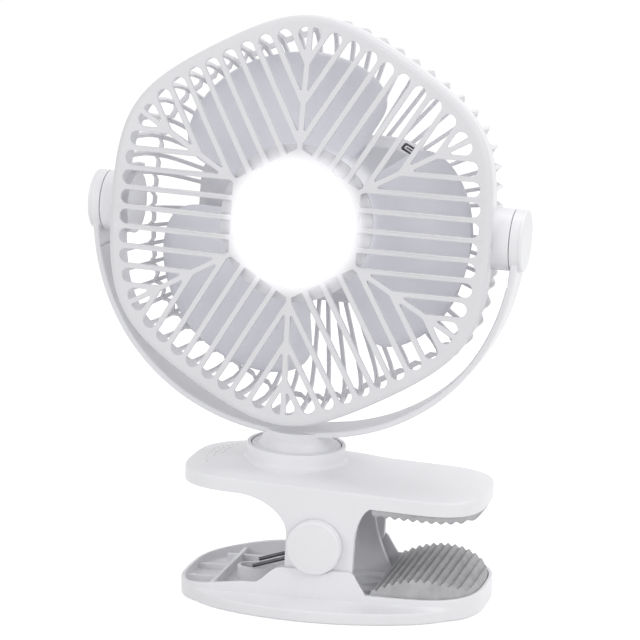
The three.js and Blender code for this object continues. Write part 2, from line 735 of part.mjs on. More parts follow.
function yoke() {
  const discRadius = socketOuterRadius - socketWall - gap;
  const discTop = socketTopZ - 0.4;
  const discBottom = plateTopZ + socketFloor + gap;
  const spindleEnd = plateTopZ - plateSkin - gap - retainerThickness - gap;
  const neck = revolved([[0, spindleEnd], [spindleRadius, spindleEnd], [spindleRadius, discBottom],
    [discRadius, discBottom], [discRadius, discTop - 0.5], [discRadius - 0.5, discTop],
    [neckRadius + neckFlare, discTop], [neckRadius, discTop + 3], [neckRadius, -yokeInnerRadius - 0.5],
    [0, -yokeInnerRadius - 0.5]]);
  const discs = [-1, 1].map((side) => revolvedAlongX(
    drum(pivotDiscRadius, pivotDiscInnerX, yokeOuterRadius - gap)).rotateZ(side < 0 ? Math.PI : 0));
  const bore = revolvedAlongX(drum(pivotPinRadius + gap, -yokeOuterRadius, yokeOuterRadius), 20);
  const sinks = [-1, 1].map((side) => revolvedAlongX(
    drum(pivotHeadRadius + gap, pivotSinkX, yokeOuterRadius + 1).map(([r, x]) => [r, side * x])));
  const headRoom = box([-pivotDiscInnerX, pivotDiscInnerX], [-yokeWidth, yokeWidth], [-20, 20]);
  return shaped([yokeStrap(), ...discs, neck], [bore, ...sinks, headRoom]);
}

/** A washer under the plate that keeps the spindle from lifting out. */
function swivelRetainer() {
  const top = plateTopZ - plateSkin - gap;
  const inner = spindleRadius + gap;
  return revolved([[inner, top - retainerThickness], [retainerRadius, top - retainerThickness],
    [retainerRadius, top], [inner, top], [inner, top - retainerThickness]], 20);
}

/** The pin a side of the head turns on, with its head sunk in the yoke. */
function pivotPin(side) {
  const start = bossStartX + 4;
  const end = pivotSinkX + gap + pivotHeadThickness;
  const profile = [[0, start], [pivotPinRadius, start], [pivotPinRadius, pivotSinkX + gap],
    [pivotHeadRadius, pivotSinkX + gap], [pivotHeadRadius, end], [0, end]];
  return revolvedAlongX(profile.map(([r, x]) => [r, side * x]), 20);
}

/** A thin round cover with a spigot that snaps into the sink over the pin's head. */
function pivotCap(side) {
  const inner = yokeOuterRadius;
  const spigot = pivotHeadRadius;
  const profile = [[0, inner - pivotCapSpigot], [spigot, inner - pivotCapSpigot], [spigot, inner],
    ...cap(pivotDiscRadius, inner, inner + pivotCapThickness, capEdge).slice(1)];
  return revolvedAlongX(profile.map(([r, x]) => [r, side * x]));
}

// ---------------------------------------------------------------- front grille
const hexOutline = (flat) => Array.from({ length: outlineSteps }, (_, i) => {
  const angle = (2 * Math.PI * i) / outlineSteps;
  const radius = flat * hexFactor(angle);
  return [radius * Math.cos(angle), radius * Math.sin(angle)];
});

/** Keeps the part of a polygon where side(point) is positive. */
function clipped(points, side) {
  return points.flatMap((point, i) => {
    const next = points[(i + 1) % points.length];
    const [here, there] = [side(point), side(next)];
    const kept = here >= 0 ? [point] : [];
    if (here * there >= 0) return kept;
    const share = here / (here - there);
    return [...kept, point.map((value, axis) => value + share * (next[axis] - value))];
  });
}

/** How far out the rounded hexagon of a flat reaches at a place along its side. */
function reachAt(flat, along) {
  let out = flat;
  for (let pass = 0; pass < 8; pass += 1) {
    const radius = flat * hexFactor(Math.atan2(along, out));
    out = Math.sqrt(radius ** 2 - along ** 2);
  }
  return out;
}

/** A slot between two ribs, in [out from the middle, along the side], with a round outer end. */
function slotOutline(index) {
  const near = index * ribPitch + ribWidth / 2;
  const far = (index + 1) * ribPitch - ribWidth / 2;
  const round = (far - near) / 2;
  const end = reachAt(slotEnd, (near + 2 * far) / 3);
  const arc = Array.from({ length: slotEndSteps + 1 }, (_, i) => {
    const angle = radians(-90 + (180 * i) / slotEndSteps);
    return [end - round + round * Math.cos(angle), near + round + round * Math.sin(angle)];
  });
  const whole = [[hubFlat, near], ...arc, [hubFlat, far]];
  const [trunkOut, trunkAlong] = [Math.sin(radians(30)), Math.cos(radians(30))];
  return clipped(whole, ([out, along]) => out * trunkOut - along * trunkAlong - ribWidth / 2);
}

function slotPaths() {
  const paths = [];
  for (let side = 0; side < 6; side += 1) {
    const turn = radians(side * 60);
    for (let index = 0; index < slotsPerHalfSide; index += 1) {
      for (const mirror of [1, -1]) {
        const points = slotOutline(index).map(([out, along]) => new THREE.Vector2(out, mirror * along));
        points.forEach((point) => point.rotateAround(new THREE.Vector2(), turn));
        paths.push(new THREE.Path(points));
      }
    }
  }
  return paths;
}

/** Curves a flat grille, whose front is at y = 0, into the shallow dome of the face. */
function domed(geometry) {
  const wallEnd = faceCentreDepth - partingDepth;
  const position = geometry.attributes.position;
  for (let i = 0; i < position.count; i += 1) {
    const [x, y, z] = [position.getX(i), position.getY(i), position.getZ(i)];
    const fall = faceCurve * (x * x + z * z) * (1 - y / wallEnd);
    position.setY(i, y + fall - faceCentreDepth);
  }
  return geometry;
}

function frontGrille() {
  const wallEnd = faceCentreDepth - partingDepth;
  const shape = new THREE.Shape(hexOutline(bandStart + 1).map(([x, y]) => new THREE.Vector2(x, y)));
  shape.holes = slotPaths();
  shape.holes.push(new THREE.Path(hexOutline(lensFlat + gap).map(([x, y]) => new THREE.Vector2(x, y))));
  const face = extrudedAlongY(shape, faceThickness, faceThickness / 2, 1);
  const inner = headFlat - frontWall;
  const innerChamfer = 0.6;
  const rim = hexed(revolvedFront([[bandStart, 0], [headFlat - 2.6, 0], [headFlat - 0.8, 1.1],
    [headFlat, 3.6], [headFlat, wallEnd], [inner, wallEnd], [inner, faceThickness + innerChamfer],
    [inner - innerChamfer, faceThickness], [bandStart, faceThickness], [bandStart, 0]]
    .map(([r, behind]) => [r, -behind]), outlineSteps));
  return domed(shaped([face, rim]));
}

// ---------------------------------------------------------------- lamp
function ledLens() {
  const top = faceCentreDepth + lensRise;
  const crown = [[0, 0], [9, 0.2], [17, 0.7], [23, 1.5], [lensFlat - 1, 2.4], [lensFlat, 3.4]];
  const front = crown.map(([r, fall]) => [r, top - fall]);
  return hexed(revolvedFront([...front, [lensFlat, lensBackDepth], [0, lensBackDepth]], lensSteps));
}

function lampCup() {
  const pocketDepth = boardThickness + 2 * gap;
  const pocket = boardRadius + gap;
  const floor = lampCupFront - pocketDepth;
  return revolvedFront([[0, lampCupBack], [lampCupRadius - 6, lampCupBack],
    [lampCupRadius - 1, lampCupBack + 4], [lampCupRadius, lampCupFront - 1],
    [lampCupRadius, lampCupFront], [pocket, lampCupFront], [pocket, floor], [0, floor]]);
}

function ledBoard() {
  const front = lampCupFront - gap;
  return revolvedFront(drum(boardRadius, front - boardThickness, front));
}

// ---------------------------------------------------------------- rear guard
/** The guard's outside, from its front edge to the ring round the back cover. */
const guardRows = () => [
  { r: headFlat - guardInset, d: partingDepth - gap, ring: true },
  { r: headFlat - guardInset, d: 4, ring: false },
  { r: headFlat - guardShoulderInset, d: guardShoulderDepth, ring: false },
  { r: headFlat - guardRingInset, d: guardRingDepth, ring: true },
  { r: headFlat - guardRingInset - guardRingWidth / 2, d: guardRingDepth - guardRingWidth, ring: false },
  { r: headFlat - guardBendInset, d: guardBendDepth, ring: false },
  { r: guardRoundInner + guardRoundBand, d: guardBackDepth, ring: true },
  { r: guardRoundInner, d: guardBackDepth, ring: true },
];

const guardShare = (r) => THREE.MathUtils.smoothstep(r, guardHexFrom, guardHexTo);

/** Inner rows lie one wall inside the outer ones, square to the profile. */
function insideRows(rows) {
  return rows.map((row, i) => {
    const before = rows[Math.max(0, i - 1)];
    const after = rows[Math.min(rows.length - 1, i + 1)];
    const [dr, dd] = [after.r - before.r, after.d - before.d];
    const length = Math.hypot(dr, dd);
    const last = i === rows.length - 1;
    const inward = last ? [0, guardWall] : [(dd / length) * guardWall, (-dr / length) * guardWall];
    return { r: row.r + inward[0], d: i === 0 ? row.d : row.d + inward[1] };
  });
}

/** One closed skin of ribs and rings: a grid of cells round the drum, some of them left open. */
function guardCage() {
  const outer = guardRows();
  const inner = insideRows(outer);
  const columns = 2 * guardRibs;
  const positions = [];
  const vertex = (row, column) => {
    const rib = Math.floor(column / 2);
    const middle = ((rib + 0.5) / guardRibs) * 2 * Math.PI;
    const half = (guardRibWidth / 2 / row.r) * (column % 2 ? 1 : -1);
    const angle = middle + half;
    const radius = row.r * (1 + (hexFactor(angle) - 1) * guardShare(row.r));
    positions.push(radius * Math.cos(angle), -row.d, radius * Math.sin(angle));
  };
  for (const rows of [outer, inner]) rows.forEach((row) => {
    for (let column = 0; column < columns; column += 1) vertex(row, column);
  });
  const at = (skin, row, column) => (skin * outer.length + row) * columns + ((column + columns) % columns);
  const nearBoss = (column) => {
    const angle = ((column / 2 + 0.5) / guardRibs) * 360;
    return Math.min(Math.abs(angle - 180), angle, 360 - angle) < bossHalfAngle;
  };
  const solid = (row, column) => row >= 0 && row < outer.length - 1
    && (column % 2 === 0 || outer[row].ring || (row < bossRows && nearBoss(column)));
  const faces = [];
  const quad = (a, b, c, d) => faces.push(a, b, c, a, c, d);
  for (let row = 0; row < outer.length - 1; row += 1) {
    for (let column = 0; column < columns; column += 1) {
      if (!solid(row, column)) continue;
      const next = column + 1;
      const [a, b, c, d] = [at(0, row, column), at(0, row, next), at(0, row + 1, next), at(0, row + 1, column)];
      const [e, f, g, h] = [at(1, row, column), at(1, row, next), at(1, row + 1, next), at(1, row + 1, column)];
      quad(a, b, c, d);
      quad(e, h, g, f);
      if (!solid(row - 1, column)) quad(a, e, f, b);
      if (!solid(row + 1, column)) quad(c, g, h, d);
      if (!solid(row, (column + columns - 1) % columns)) quad(d, h, e, a);
      if (!solid(row, next % columns)) quad(b, f, g, c);
    }
  }
  const geometry = new THREE.BufferGeometry();
  geometry.setAttribute('position', new THREE.Float32BufferAttribute(positions, 3));
  geometry.setIndex(faces);
  return geometry;
}

function rearGuard() {
  const bosses = [-1, 1].map((side) => revolvedAlongX(
    drum(pivotDiscRadius, bossStartX + 3, bossEndX).map(([r, x]) => [r, side * x])));
  const bores = [-1, 1].map((side) => revolvedAlongX(
    drum(pivotPinRadius + gap, bossStartX + 3.6, bossEndX + 1).map(([r, x]) => [r, side * x]), 20));
  return shaped([guardCage(), ...bosses], bores);
}

// ---------------------------------------------------------------- rear housing and cover
function roundedRectangle(halfWidth, halfHeight, corner) {
  const shape = new THREE.Shape();
  shape.moveTo(halfWidth, 0);
  shape.absarc(halfWidth - corner, halfHeight - corner, corner, 0, Math.PI / 2, false);
  shape.absarc(corner - halfWidth, halfHeight - corner, corner, Math.PI / 2, Math.PI, false);
  shape.absarc(corner - halfWidth, corner - halfHeight, corner, Math.PI, 1.5 * Math.PI, false);
  shape.absarc(halfWidth - corner, corner - halfHeight, corner, 1.5 * Math.PI, 2 * Math.PI, false);
  return shape;
}

function rearHousing() {
  const depth = housingFront - housingBack;
  const middle = -(housingFront + housingBack) / 2;
  const outline = roundedRectangle(housingHalfWidth, housingHalfHeight, housingCorner);
  const body = extrudedAlongY(outline, depth, middle, 5, 1);
  const seat = drum(motorRadius + gap, housingFront - motorSeatDepth, housingFront + 1);
  const motorSeat = revolvedFront(seat, 24);
  const [halfPort, halfPortHeight] = [portWidth / 2, portHeight / 2];
  const port = box([portX - halfPort, portX + halfPort], [middle - halfPortHeight, middle + halfPortHeight],
    [housingHalfHeight - portDepth, housingHalfHeight + 1]);
  return shaped([body], [motorSeat, port]);
}

function backCover() {
  const radius = guardRoundInner - gap;
  const body = revolvedFront([[0, coverFront], [radius, coverFront], [radius, coverBack + 1.2],
    [radius - 1.2, coverBack], [0, coverBack]]);
  const holes = [-1, 1].map((side) => revolvedFront(
    drum(buttonRadius + gap, coverBack - 1, coverFront + 1), 24).translate(side * buttonSpacing / 2, 0, 0));
  return shaped([body], holes);
}

function button(side) {
  const outer = coverBack - buttonProud;
  const profile = cap(buttonRadius, outer + buttonLength, outer, 0.6);
  return revolvedFront(profile, 24).translate(side * buttonSpacing / 2, 0, 0);
}

// ---------------------------------------------------------------- motor and rotor
function motor() {
  const back = housingFront - motorSeatDepth + gap;
  return revolvedFront([[0, back], [motorRadius, back], [motorRadius, motorFront - 1],
    [motorRadius - 1, motorFront], [shaftRadius, motorFront], [shaftRadius, rotorHubFront - 3],
    [0, rotorHubFront - 3]], 24);
}

/** One blade: a thin twisted leaf on a grid of radius and angle, closed all round. */
function blade(middleAngle) {
  const root = rotorHubRadius - rotorHubWall / 2;
  const bladeMidRadius = (root + bladeTip) / 2;
  const halfSpan = bladeTip + 0.5 - bladeMidRadius;
  const surface = (i, j, face) => {
    const out = Math.sin((Math.PI / 2) * (i / bladeRadialSteps));
    const r = root + (bladeTip - root) * out;
    const across = (2 * j) / bladeAngleSteps - 1;
    const width = Math.sqrt(1 - Math.abs((r - bladeMidRadius) / halfSpan) ** bladeRoundness);
    const angle = radians(middleAngle + bladeHalfAngle * width * across);
    const rise = THREE.MathUtils.lerp(bladeRise, bladeTipRise, out) * across * width;
    const d = bladeMidDepth + rise + bladeCamber * (1 - across * across) + (face * bladeThickness) / 2;
    return [r * Math.cos(angle), -d, r * Math.sin(angle)];
  };
  const columns = bladeAngleSteps + 1;
  const count = (bladeRadialSteps + 1) * columns;
  const positions = [];
  for (const face of [1, -1]) {
    for (let i = 0; i <= bladeRadialSteps; i += 1) {
      for (let j = 0; j < columns; j += 1) positions.push(...surface(i, j, face));
    }
  }
  const faces = [];
  const quad = (a, b, c, d) => faces.push(a, b, c, a, c, d);
  for (let i = 0; i < bladeRadialSteps; i += 1) {
    for (let j = 0; j < bladeAngleSteps; j += 1) {
      const a = i * columns + j;
      quad(a, a + columns, a + columns + 1, a + 1);
      quad(count + a, count + a + 1, count + a + columns + 1, count + a + columns);
    }
    const [first, last] = [i * columns, i * columns + bladeAngleSteps];
    quad(first, count + first, count + first + columns, first + columns);
    quad(last, last + columns, count + last + columns, count + last);
  }
  for (let j = 0; j < bladeAngleSteps; j += 1) {
    const tip = bladeRadialSteps * columns + j;
    quad(j, j + 1, count + j + 1, count + j);
    quad(tip, count + tip, count + tip + 1, tip + 1);
  }
  const geometry = new THREE.BufferGeometry();
  geometry.setAttribute('position', new THREE.Float32BufferAttribute(positions, 3));
  geometry.setIndex(faces);
  return geometry;
}

function fanRotor() {
  const inner = rotorHubRadius - rotorHubWall;
  const roof = rotorHubFront - rotorHubWall;
  const bore = shaftRadius + gap;
  const [outer, front, boreEnd] = [rotorHubRadius, rotorHubFront, motorFront + 1];
  const hub = revolvedFront([[0, front], [outer - 4, front], [outer - 1, front - 2], [outer, front - 5],
    [outer, rotorHubBack], [inner, rotorHubBack], [inner, roof], [bore + 2, roof], [bore + 2, boreEnd],
    [bore, boreEnd], [bore, front - 2], [0, front - 2]]);
  const blades = Array.from({ length: bladeCount }, (_, i) => blade((360 / bladeCount) * i));
  return shaped([hub, ...blades]);
}

// ---------------------------------------------------------------- assembly
function placed(name, geometry, material) {
  const closed = welded(geometry);
  closed.computeVertexNormals();
  const mesh = new THREE.Mesh(closed, material);
  mesh.name = name;
  return mesh;
}

const rotorGroup = new THREE.Group();
rotorGroup.rotation.y = -radians(rotorTurn);
rotorGroup.add(placed('fan_rotor', fanRotor(), bladePlastic));

const headGroup = new THREE.Group();
headGroup.rotation.x = -radians(headTilt);
headGroup.add(
  placed('front_grille', frontGrille(), whitePlastic),
  placed('led_lens', ledLens(), lampPlastic),
  placed('lamp_cup', lampCup(), whitePlastic),
  placed('led_board', ledBoard(), boardGreen),
  placed('rear_guard', rearGuard(), whitePlastic),
  placed('rear_housing', rearHousing(), whitePlastic),
  placed('back_cover', backCover(), whitePlastic),
  placed('speed_button', button(-1), buttonPlastic),
  placed('lamp_button', button(1), buttonPlastic),
  placed('motor', motor(), steel),
  rotorGroup,
);

const yokeGroup = new THREE.Group();
yokeGroup.position.set(swivelX, 0, plateTopAboveHinge + socketHeight + pivotAboveSocket);
yokeGroup.rotation.z = radians(swivelTurn);
yokeGroup.add(
  placed('yoke', yoke(), whitePlastic),
  placed('swivel_retainer', swivelRetainer(), steel),
  placed('pivot_pin_left', pivotPin(-1), steel),
  placed('pivot_pin_right', pivotPin(1), steel),
  placed('pivot_cap_left', pivotCap(-1), whitePlastic),
  placed('pivot_cap_right', pivotCap(1), whitePlastic),
  headGroup,
);

const jawGroup = new THREE.Group();
jawGroup.position.z = hingeHeight;
jawGroup.rotation.y = radians(jawTilt);
jawGroup.add(
  placed('upper_jaw', upperJaw(), whitePlastic),
  placed('upper_pad', upperPad(), greyRubber),
  placed('hinge_cap_front', hingeCap(-1), whitePlastic),
  placed('hinge_cap_rear', hingeCap(1), whitePlastic),
  yokeGroup,
);

const springMesh = placed('torsion_spring', torsionSpring(), steel);
const pinMesh = placed('hinge_pin', hingePin(), steel);
springMesh.position.z = hingeHeight;
pinMesh.position.z = hingeHeight;

console.log(`torsion spring: least gap to itself ${springLeastGap().toFixed(2)} mm`);

const clipFan = new THREE.Group();
clipFan.name = 'clip_fan';
clipFan.add(
  placed('lower_jaw', lowerJaw(), whitePlastic),
  placed('lower_pad', lowerPad(), greyRubber),
  springMesh,
  pinMesh,
  jawGroup,
);

export default clipFan;
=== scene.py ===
"""Clip fan: finer pieces, materials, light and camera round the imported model. Metres, +Z up, front -Y."""
import json
from math import atan2, ceil, copysign, cos, dist, pi, radians, sin, sqrt, tan

import bmesh
import bpy
from mathutils import Matrix, Vector
from mathutils.geometry import tessellate_polygon


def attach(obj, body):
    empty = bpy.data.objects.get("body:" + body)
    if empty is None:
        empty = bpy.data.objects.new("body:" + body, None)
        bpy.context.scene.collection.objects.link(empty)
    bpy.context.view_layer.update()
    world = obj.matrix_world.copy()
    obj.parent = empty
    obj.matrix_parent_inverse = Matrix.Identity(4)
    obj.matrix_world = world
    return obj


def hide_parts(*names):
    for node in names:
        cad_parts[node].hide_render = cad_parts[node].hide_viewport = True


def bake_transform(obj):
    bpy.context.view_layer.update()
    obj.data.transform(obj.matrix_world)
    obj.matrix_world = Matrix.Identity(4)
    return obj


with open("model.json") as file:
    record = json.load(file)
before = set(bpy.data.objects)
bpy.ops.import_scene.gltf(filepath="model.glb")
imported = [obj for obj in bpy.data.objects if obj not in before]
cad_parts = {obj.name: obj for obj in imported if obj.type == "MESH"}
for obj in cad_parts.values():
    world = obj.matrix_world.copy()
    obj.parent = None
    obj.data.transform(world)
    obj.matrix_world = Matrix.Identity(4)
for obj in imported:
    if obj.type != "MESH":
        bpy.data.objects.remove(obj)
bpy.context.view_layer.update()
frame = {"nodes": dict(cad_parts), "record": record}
MM = 0.001

# ---- camera, as in the photograph
AZIMUTH, ELEVATION, DISTANCE = radians(15), radians(12), 1.2
TARGET_RIGHT, TARGET_UP = -0.00625, 0.1272
FOCAL_PIXELS, IMAGE_PIXELS, SENSOR = 2667, 640, 36


def make_camera():
    level = cos(ELEVATION)
    back = Vector((sin(AZIMUTH) * level, -cos(AZIMUTH) * level, sin(ELEVATION)))
    right = Vector((cos(AZIMUTH), sin(AZIMUTH), 0))
    target = right * TARGET_RIGHT + Vector((0, 0, TARGET_UP))
    data = bpy.data.cameras.new("photo_camera")
    data.sensor_width = SENSOR
    data.lens = FOCAL_PIXELS / IMAGE_PIXELS * SENSOR
    data.clip_end = 20
    camera = bpy.data.objects.new("photo_camera", data)
    turn = Matrix((right, back.cross(right), back)).transposed().to_4x4()
    camera.matrix_world = Matrix.Translation(target + back * DISTANCE) @ turn
    bpy.context.collection.objects.link(camera)
    bpy.context.scene.camera = camera
    bpy.context.scene.view_settings.view_transform = "Standard"


# ---- material nodes
class Nodes:
    """The node tree of a material or world, with short calls for making and joining nodes."""

    def __init__(self, owner, output="ShaderNodeOutputMaterial"):
        owner.use_nodes = True
        self.owner, self.tree = owner, owner.node_tree
        self.tree.nodes.clear()
        self.output = self.tree.nodes.new(output)

    def add(self, kind, inputs=None, **settings):
        made = self.tree.nodes.new(kind)
        for key, value in settings.items():
            setattr(made, key, value)
        for key, value in (inputs or {}).items():
            socket = made.inputs[key]
            if isinstance(value, bpy.types.NodeSocket):
                self.tree.links.new(value, socket)
            else:
                socket.default_value = (*value, 1) if socket.type == "RGBA" else value
        return made

    def place(self):
        return self.add("ShaderNodeTexCoord").outputs["Object"]

    def noise(self, where, size, detail=2.0, stretch=(1, 1, 1)):
        """Noise whose lumps are about size metres across."""
        moved = self.add("ShaderNodeMapping", {"Vector": where, "Scale": stretch}).outputs["Vector"]
        made = self.add("ShaderNodeTexNoise", {"Vector": moved, "Scale": 1 / size, "Detail": detail})
        return made.outputs["Fac"]

    def spread(self, value, low, high, to_low, to_high):
        made = self.add("ShaderNodeMapRange", {"Value": value, "From Min": low, "From Max": high,
                                               "To Min": to_low, "To Max": to_high})
        return made.outputs["Result"]

    def ramp(self, value, dark, light, high=0.7):
        """Runs from one colour at 0.3 to the other at high."""
        made = self.add("ShaderNodeValToRGB", {"Fac": value})
        for element, position, color in zip(made.color_ramp.elements, (0.3, high), (dark, light)):
            element.position, element.color = position, (*color, 1)
        return made.outputs["Color"]

    def bump(self, height, distance, strength=1.0, normal=None):
        inputs = {"Height": height, "Distance": distance, "Strength": strength}
        if normal is not None:
            inputs["Normal"] = normal
        return self.add("ShaderNodeBump", inputs).outputs["Normal"]

    def tint(self, base, mask, low, high, to_low, to_high, color, factor):
        """Mixes a lighter or darker colour into base, as far as the mask says between low and high."""
        inputs = {0: self.spread(mask, low, high, to_low, to_high), 6: base, 7: scaled(color, factor)}
        return self.add("ShaderNodeMix", inputs, data_type="RGBA").outputs[2]

    def pointiness(self):
        return self.add("ShaderNodeNewGeometry").outputs["Pointiness"]

    def finish(self, shader):
        self.tree.links.new(shader.outputs[0], self.output.inputs["Surface"])
        return self.owner

    def finish_principled(self, color, roughness, normal, **named):
        inputs = {"Base Color": color, "Roughness": roughness, "Normal": normal}
        inputs.update((name.replace("_", " "), value) for name, value in named.items())
        return self.finish(self.add("ShaderNodeBsdfPrincipled", inputs))


def fresh(name):
    """A new material's nodes, and the place on the piece that its patterns follow."""
    n = Nodes(bpy.data.materials.new(name + "_look"))
    return n, n.place()


def scaled(color, factor):
    return tuple(min(1, channel * factor) for channel in color)


# where the painted lamp glow is centred: the lamp's axis, fading out from the lens's edge
LAMP_CENTRE = (-0.012094, 0, 0.172527)
LAMP_AXIS = (0.004561, -0.996195, 0.087036)
LENS_EDGE = 0.0265
CLOUDS, SPECKS, SHEEN, WAVES, WAVE_DEPTH = 0.045, 0.0011, 0.012, 0.02, 0.00008
SMEARS, DUST, RUBBER_GRAIN = 0.006, 0.0009, 0.0005
STAINS, DRAW_LINES, FROST = 0.004, 0.0006, 0.0006


def painted_lamp_glow(n, where, glow, reach):
    """Painted lamp light: an emission strength that fades out between the lens's edge and the reach, about the
    lamp's axis.
    """
    arm = n.add("ShaderNodeVectorMath", {0: where, 1: LAMP_CENTRE}, operation="SUBTRACT").outputs[0]
    square = n.add("ShaderNodeVectorMath", {0: arm, 1: LAMP_AXIS}, operation="CROSS_PRODUCT").outputs[0]
    away = n.add("ShaderNodeVectorMath", {0: square}, operation="LENGTH").outputs["Value"]
    fading = {"Value": away, "From Min": LENS_EDGE, "From Max": reach, "To Min": glow, "To Max": 0.0}
    return n.add("ShaderNodeMapRange", fading, interpolation_type="SMOOTHERSTEP").outputs["Result"]


def moulded(name, color, roughness=0.34, glow=0, reach=0, grain=0.00035, grain_depth=0.000012):
    """Injection-moulded plastic: a fine spark-eroded grain, faint flow clouds, paler rubbed edges and painted
    shade darkening its creases.

    With a glow, painted lamp light is added near the lamp's axis: an emission that fades outwards, standing in
    for the lamp's light on the plastic.
    """
    n, where = fresh(name)
    base = n.ramp(n.noise(where, CLOUDS, 3), scaled(color, 0.972), scaled(color, 1.012))
    base = n.tint(base, n.noise(where, SPECKS, 2), 0.3, 0.7, 0, 0.05, color, 0.86)
    edge = n.pointiness()
    base = n.tint(base, edge, 0.52, 0.62, 0, 0.06, color, 1.1)
    # painted shade: darker where the surface is hollow, in creases and inner corners
    base = n.tint(base, edge, 0.40, 0.48, 0.10, 0, color, 0.62)
    gloss = n.spread(n.noise(where, SHEEN, 4), 0.3, 0.7, roughness - 0.05, roughness + 0.07)
    waves = n.bump(n.noise(where, WAVES, 1), WAVE_DEPTH, 0.5)
    normal = n.bump(n.noise(where, grain, 3), grain_depth, 0.6, waves)
    lit = {}
    # painted glow: emission on plastic that is no lamp, standing in for the lamp's light near the lens
    if glow:
        lit = {"Emission_Strength": painted_lamp_glow(n, where, glow, reach), "Emission_Color": (1, 1, 1)}
    return n.finish_principled(base, gloss, normal, Specular_IOR_Level=0.45, **lit)


def rubber(name, color):
    """Matt rubber: a soft dusty grain, tiny pits and creases darkened by painted shade."""
    n, where = fresh(name)
    base = n.ramp(n.noise(where, SMEARS, 4), scaled(color, 0.86), scaled(color, 1.1))
    dust = n.noise(where, DUST, 2)
    base = n.tint(base, dust, 0.55, 0.75, 0, 0.25, color, 1.35)
    edge = n.pointiness()
    # painted shade: darker where the surface is hollow, in creases and grooves
    base = n.tint(base, edge, 0.38, 0.49, 0.5, 0, color, 0.5)
    base = n.tint(base, edge, 0.52, 0.65, 0, 0.35, color, 1.4)
    normal = n.bump(n.noise(where, RUBBER_GRAIN, 3), 0.00003, 0.8)
    return n.finish_principled(base, n.spread(dust, 0.3, 0.7, 0.62, 0.8), normal, Specular_IOR_Level=0.3)


def metal(name, color, roughness, drawn=(1, 1, 1)):
    """Steel with fine draw marks, faint stains and brighter edges."""
    n, where = fresh(name)
    base = n.ramp(n.noise(where, STAINS, 4), scaled(color, 0.78), scaled(color, 1.15), 0.75)
    base = n.tint(base, n.pointiness(), 0.52, 0.62, 0, 0.5, color, 1.7)
    lines = n.noise(where, DRAW_LINES, 3, drawn)
    gloss = n.spread(lines, 0.3, 0.7, roughness - 0.08, roughness + 0.12)
    return n.finish_principled(base, gloss, n.bump(lines, 0.00002, 0.5), Metallic=1.0)


def lit_lens(name):
    """A frosted diffuser over lit diodes, with a fine frost and faint clouds."""
    n, where = fresh(name)
    frost = n.noise(where, FROST, 3)
    base = n.ramp(n.noise(where, SHEEN, 2), (0.95, 0.95, 0.94), (1, 1, 1))
    glow = n.ramp(frost, (0.97, 0.98, 1.0), (1, 1, 1))
    gloss = n.spread(frost, 0.3, 0.7, 0.42, 0.56)
    return n.finish_principled(base, gloss, n.bump(frost, 0.00002, 0.6), Emission_Color=glow,
                               Emission_Strength=LENS_GLOW)


LENS_GLOW = 1.6
LOOKS = {
    "white_plastic": (moulded, (0.85, 0.85, 0.875)),
    # head plastic: a darker copy of the white plastic, painted shade for the head's dimmer faces, with a painted
    # glow near the lamp
    "head_plastic": (moulded, (0.75, 0.75, 0.775), 0.34, 0.28, 0.0345),
    # blade plastic: with a painted glow near the lamp's axis
    "blade_plastic": (moulded, (0.86, 0.86, 0.915), 0.38, 0.26, 0.034),
    "lamp_diffuser": (lit_lens,),
    "lamp_board": (moulded, (0.74, 0.77, 0.73), 0.5),
    "button_plastic": (moulded, (0.62, 0.62, 0.66), 0.5, 0, 0, 0.0006, 0.00003),
    "grey_rubber": (rubber, (0.46, 0.46, 0.475)),
    "spring_steel": (metal, (0.10, 0.10, 0.11), 0.36, (1, 0.2, 1)),
    "pin_steel": (metal, (0.42, 0.42, 0.44), 0.32),
    "port_black": (moulded, (0.035, 0.035, 0.04), 0.4),
}
MATERIALS = {name: make(name, *settings) for name, (make, *settings) in LOOKS.items()}


def dress_nodes():
    for part in frame["record"]["subparts"]:
        for slot in frame["nodes"][part["node"]].material_slots:
            slot.material = MATERIALS[part["material_slot"]]


# ---- floor, light and background
def seen_directly(n):
    path = n.add("ShaderNodeLightPath").outputs
    seen = path["Is Camera Ray"]
    for other in ("Is Glossy Ray", "Is Transmission Ray"):
        seen = n.add("ShaderNodeMath", {0: seen, 1: path[other]}, operation="MAXIMUM").outputs[0]
    return seen


FLOOR_LIFT, FLOOR_HALF, FLOOR_DROP = 0.46, 6, 0.0002


def make_floor():
    mesh = bpy.data.meshes.new("floor")
    corners = [(-1, -1), (1, -1), (1, 1), (-1, 1)]
    mesh.from_pydata([(x * FLOOR_HALF, y * FLOOR_HALF, -FLOOR_DROP) for x, y in corners], [], [(0, 1, 2, 3)])
    floor = bpy.data.objects.new("floor", mesh)
    bpy.context.collection.objects.link(floor)
    n, where = fresh("floor")
    paper = n.ramp(n.noise(where, 0.4, 2), (0.795, 0.795, 0.795), (0.805, 0.805, 0.805))
    matt = n.add("ShaderNodeBsdfDiffuse", {"Color": paper})
    lift = n.add("ShaderNodeEmission", {"Color": (1, 1, 1), "Strength": FLOOR_LIFT})
    lifted = n.add("ShaderNodeAddShader", {0: matt.outputs[0], 1: lift.outputs[0]})
    both = n.add("ShaderNodeMixShader", {0: seen_directly(n), 1: matt.outputs[0], 2: lifted.outputs[0]})
    mesh.materials.append(n.finish(both))


WORLD_LEVEL = 0.68


def make_world():
    n = Nodes(bpy.data.worlds.new("studio"), "ShaderNodeOutputWorld")
    soft = n.add("ShaderNodeBackground", {"Color": (1, 1, 1), "Strength": WORLD_LEVEL})
    white = n.add("ShaderNodeBackground", {"Color": (1, 1, 1), "Strength": 1})
    both = n.add("ShaderNodeMixShader", {0: seen_directly(n), 1: soft.outputs[0], 2: white.outputs[0]})
    bpy.context.scene.world = n.finish(both)


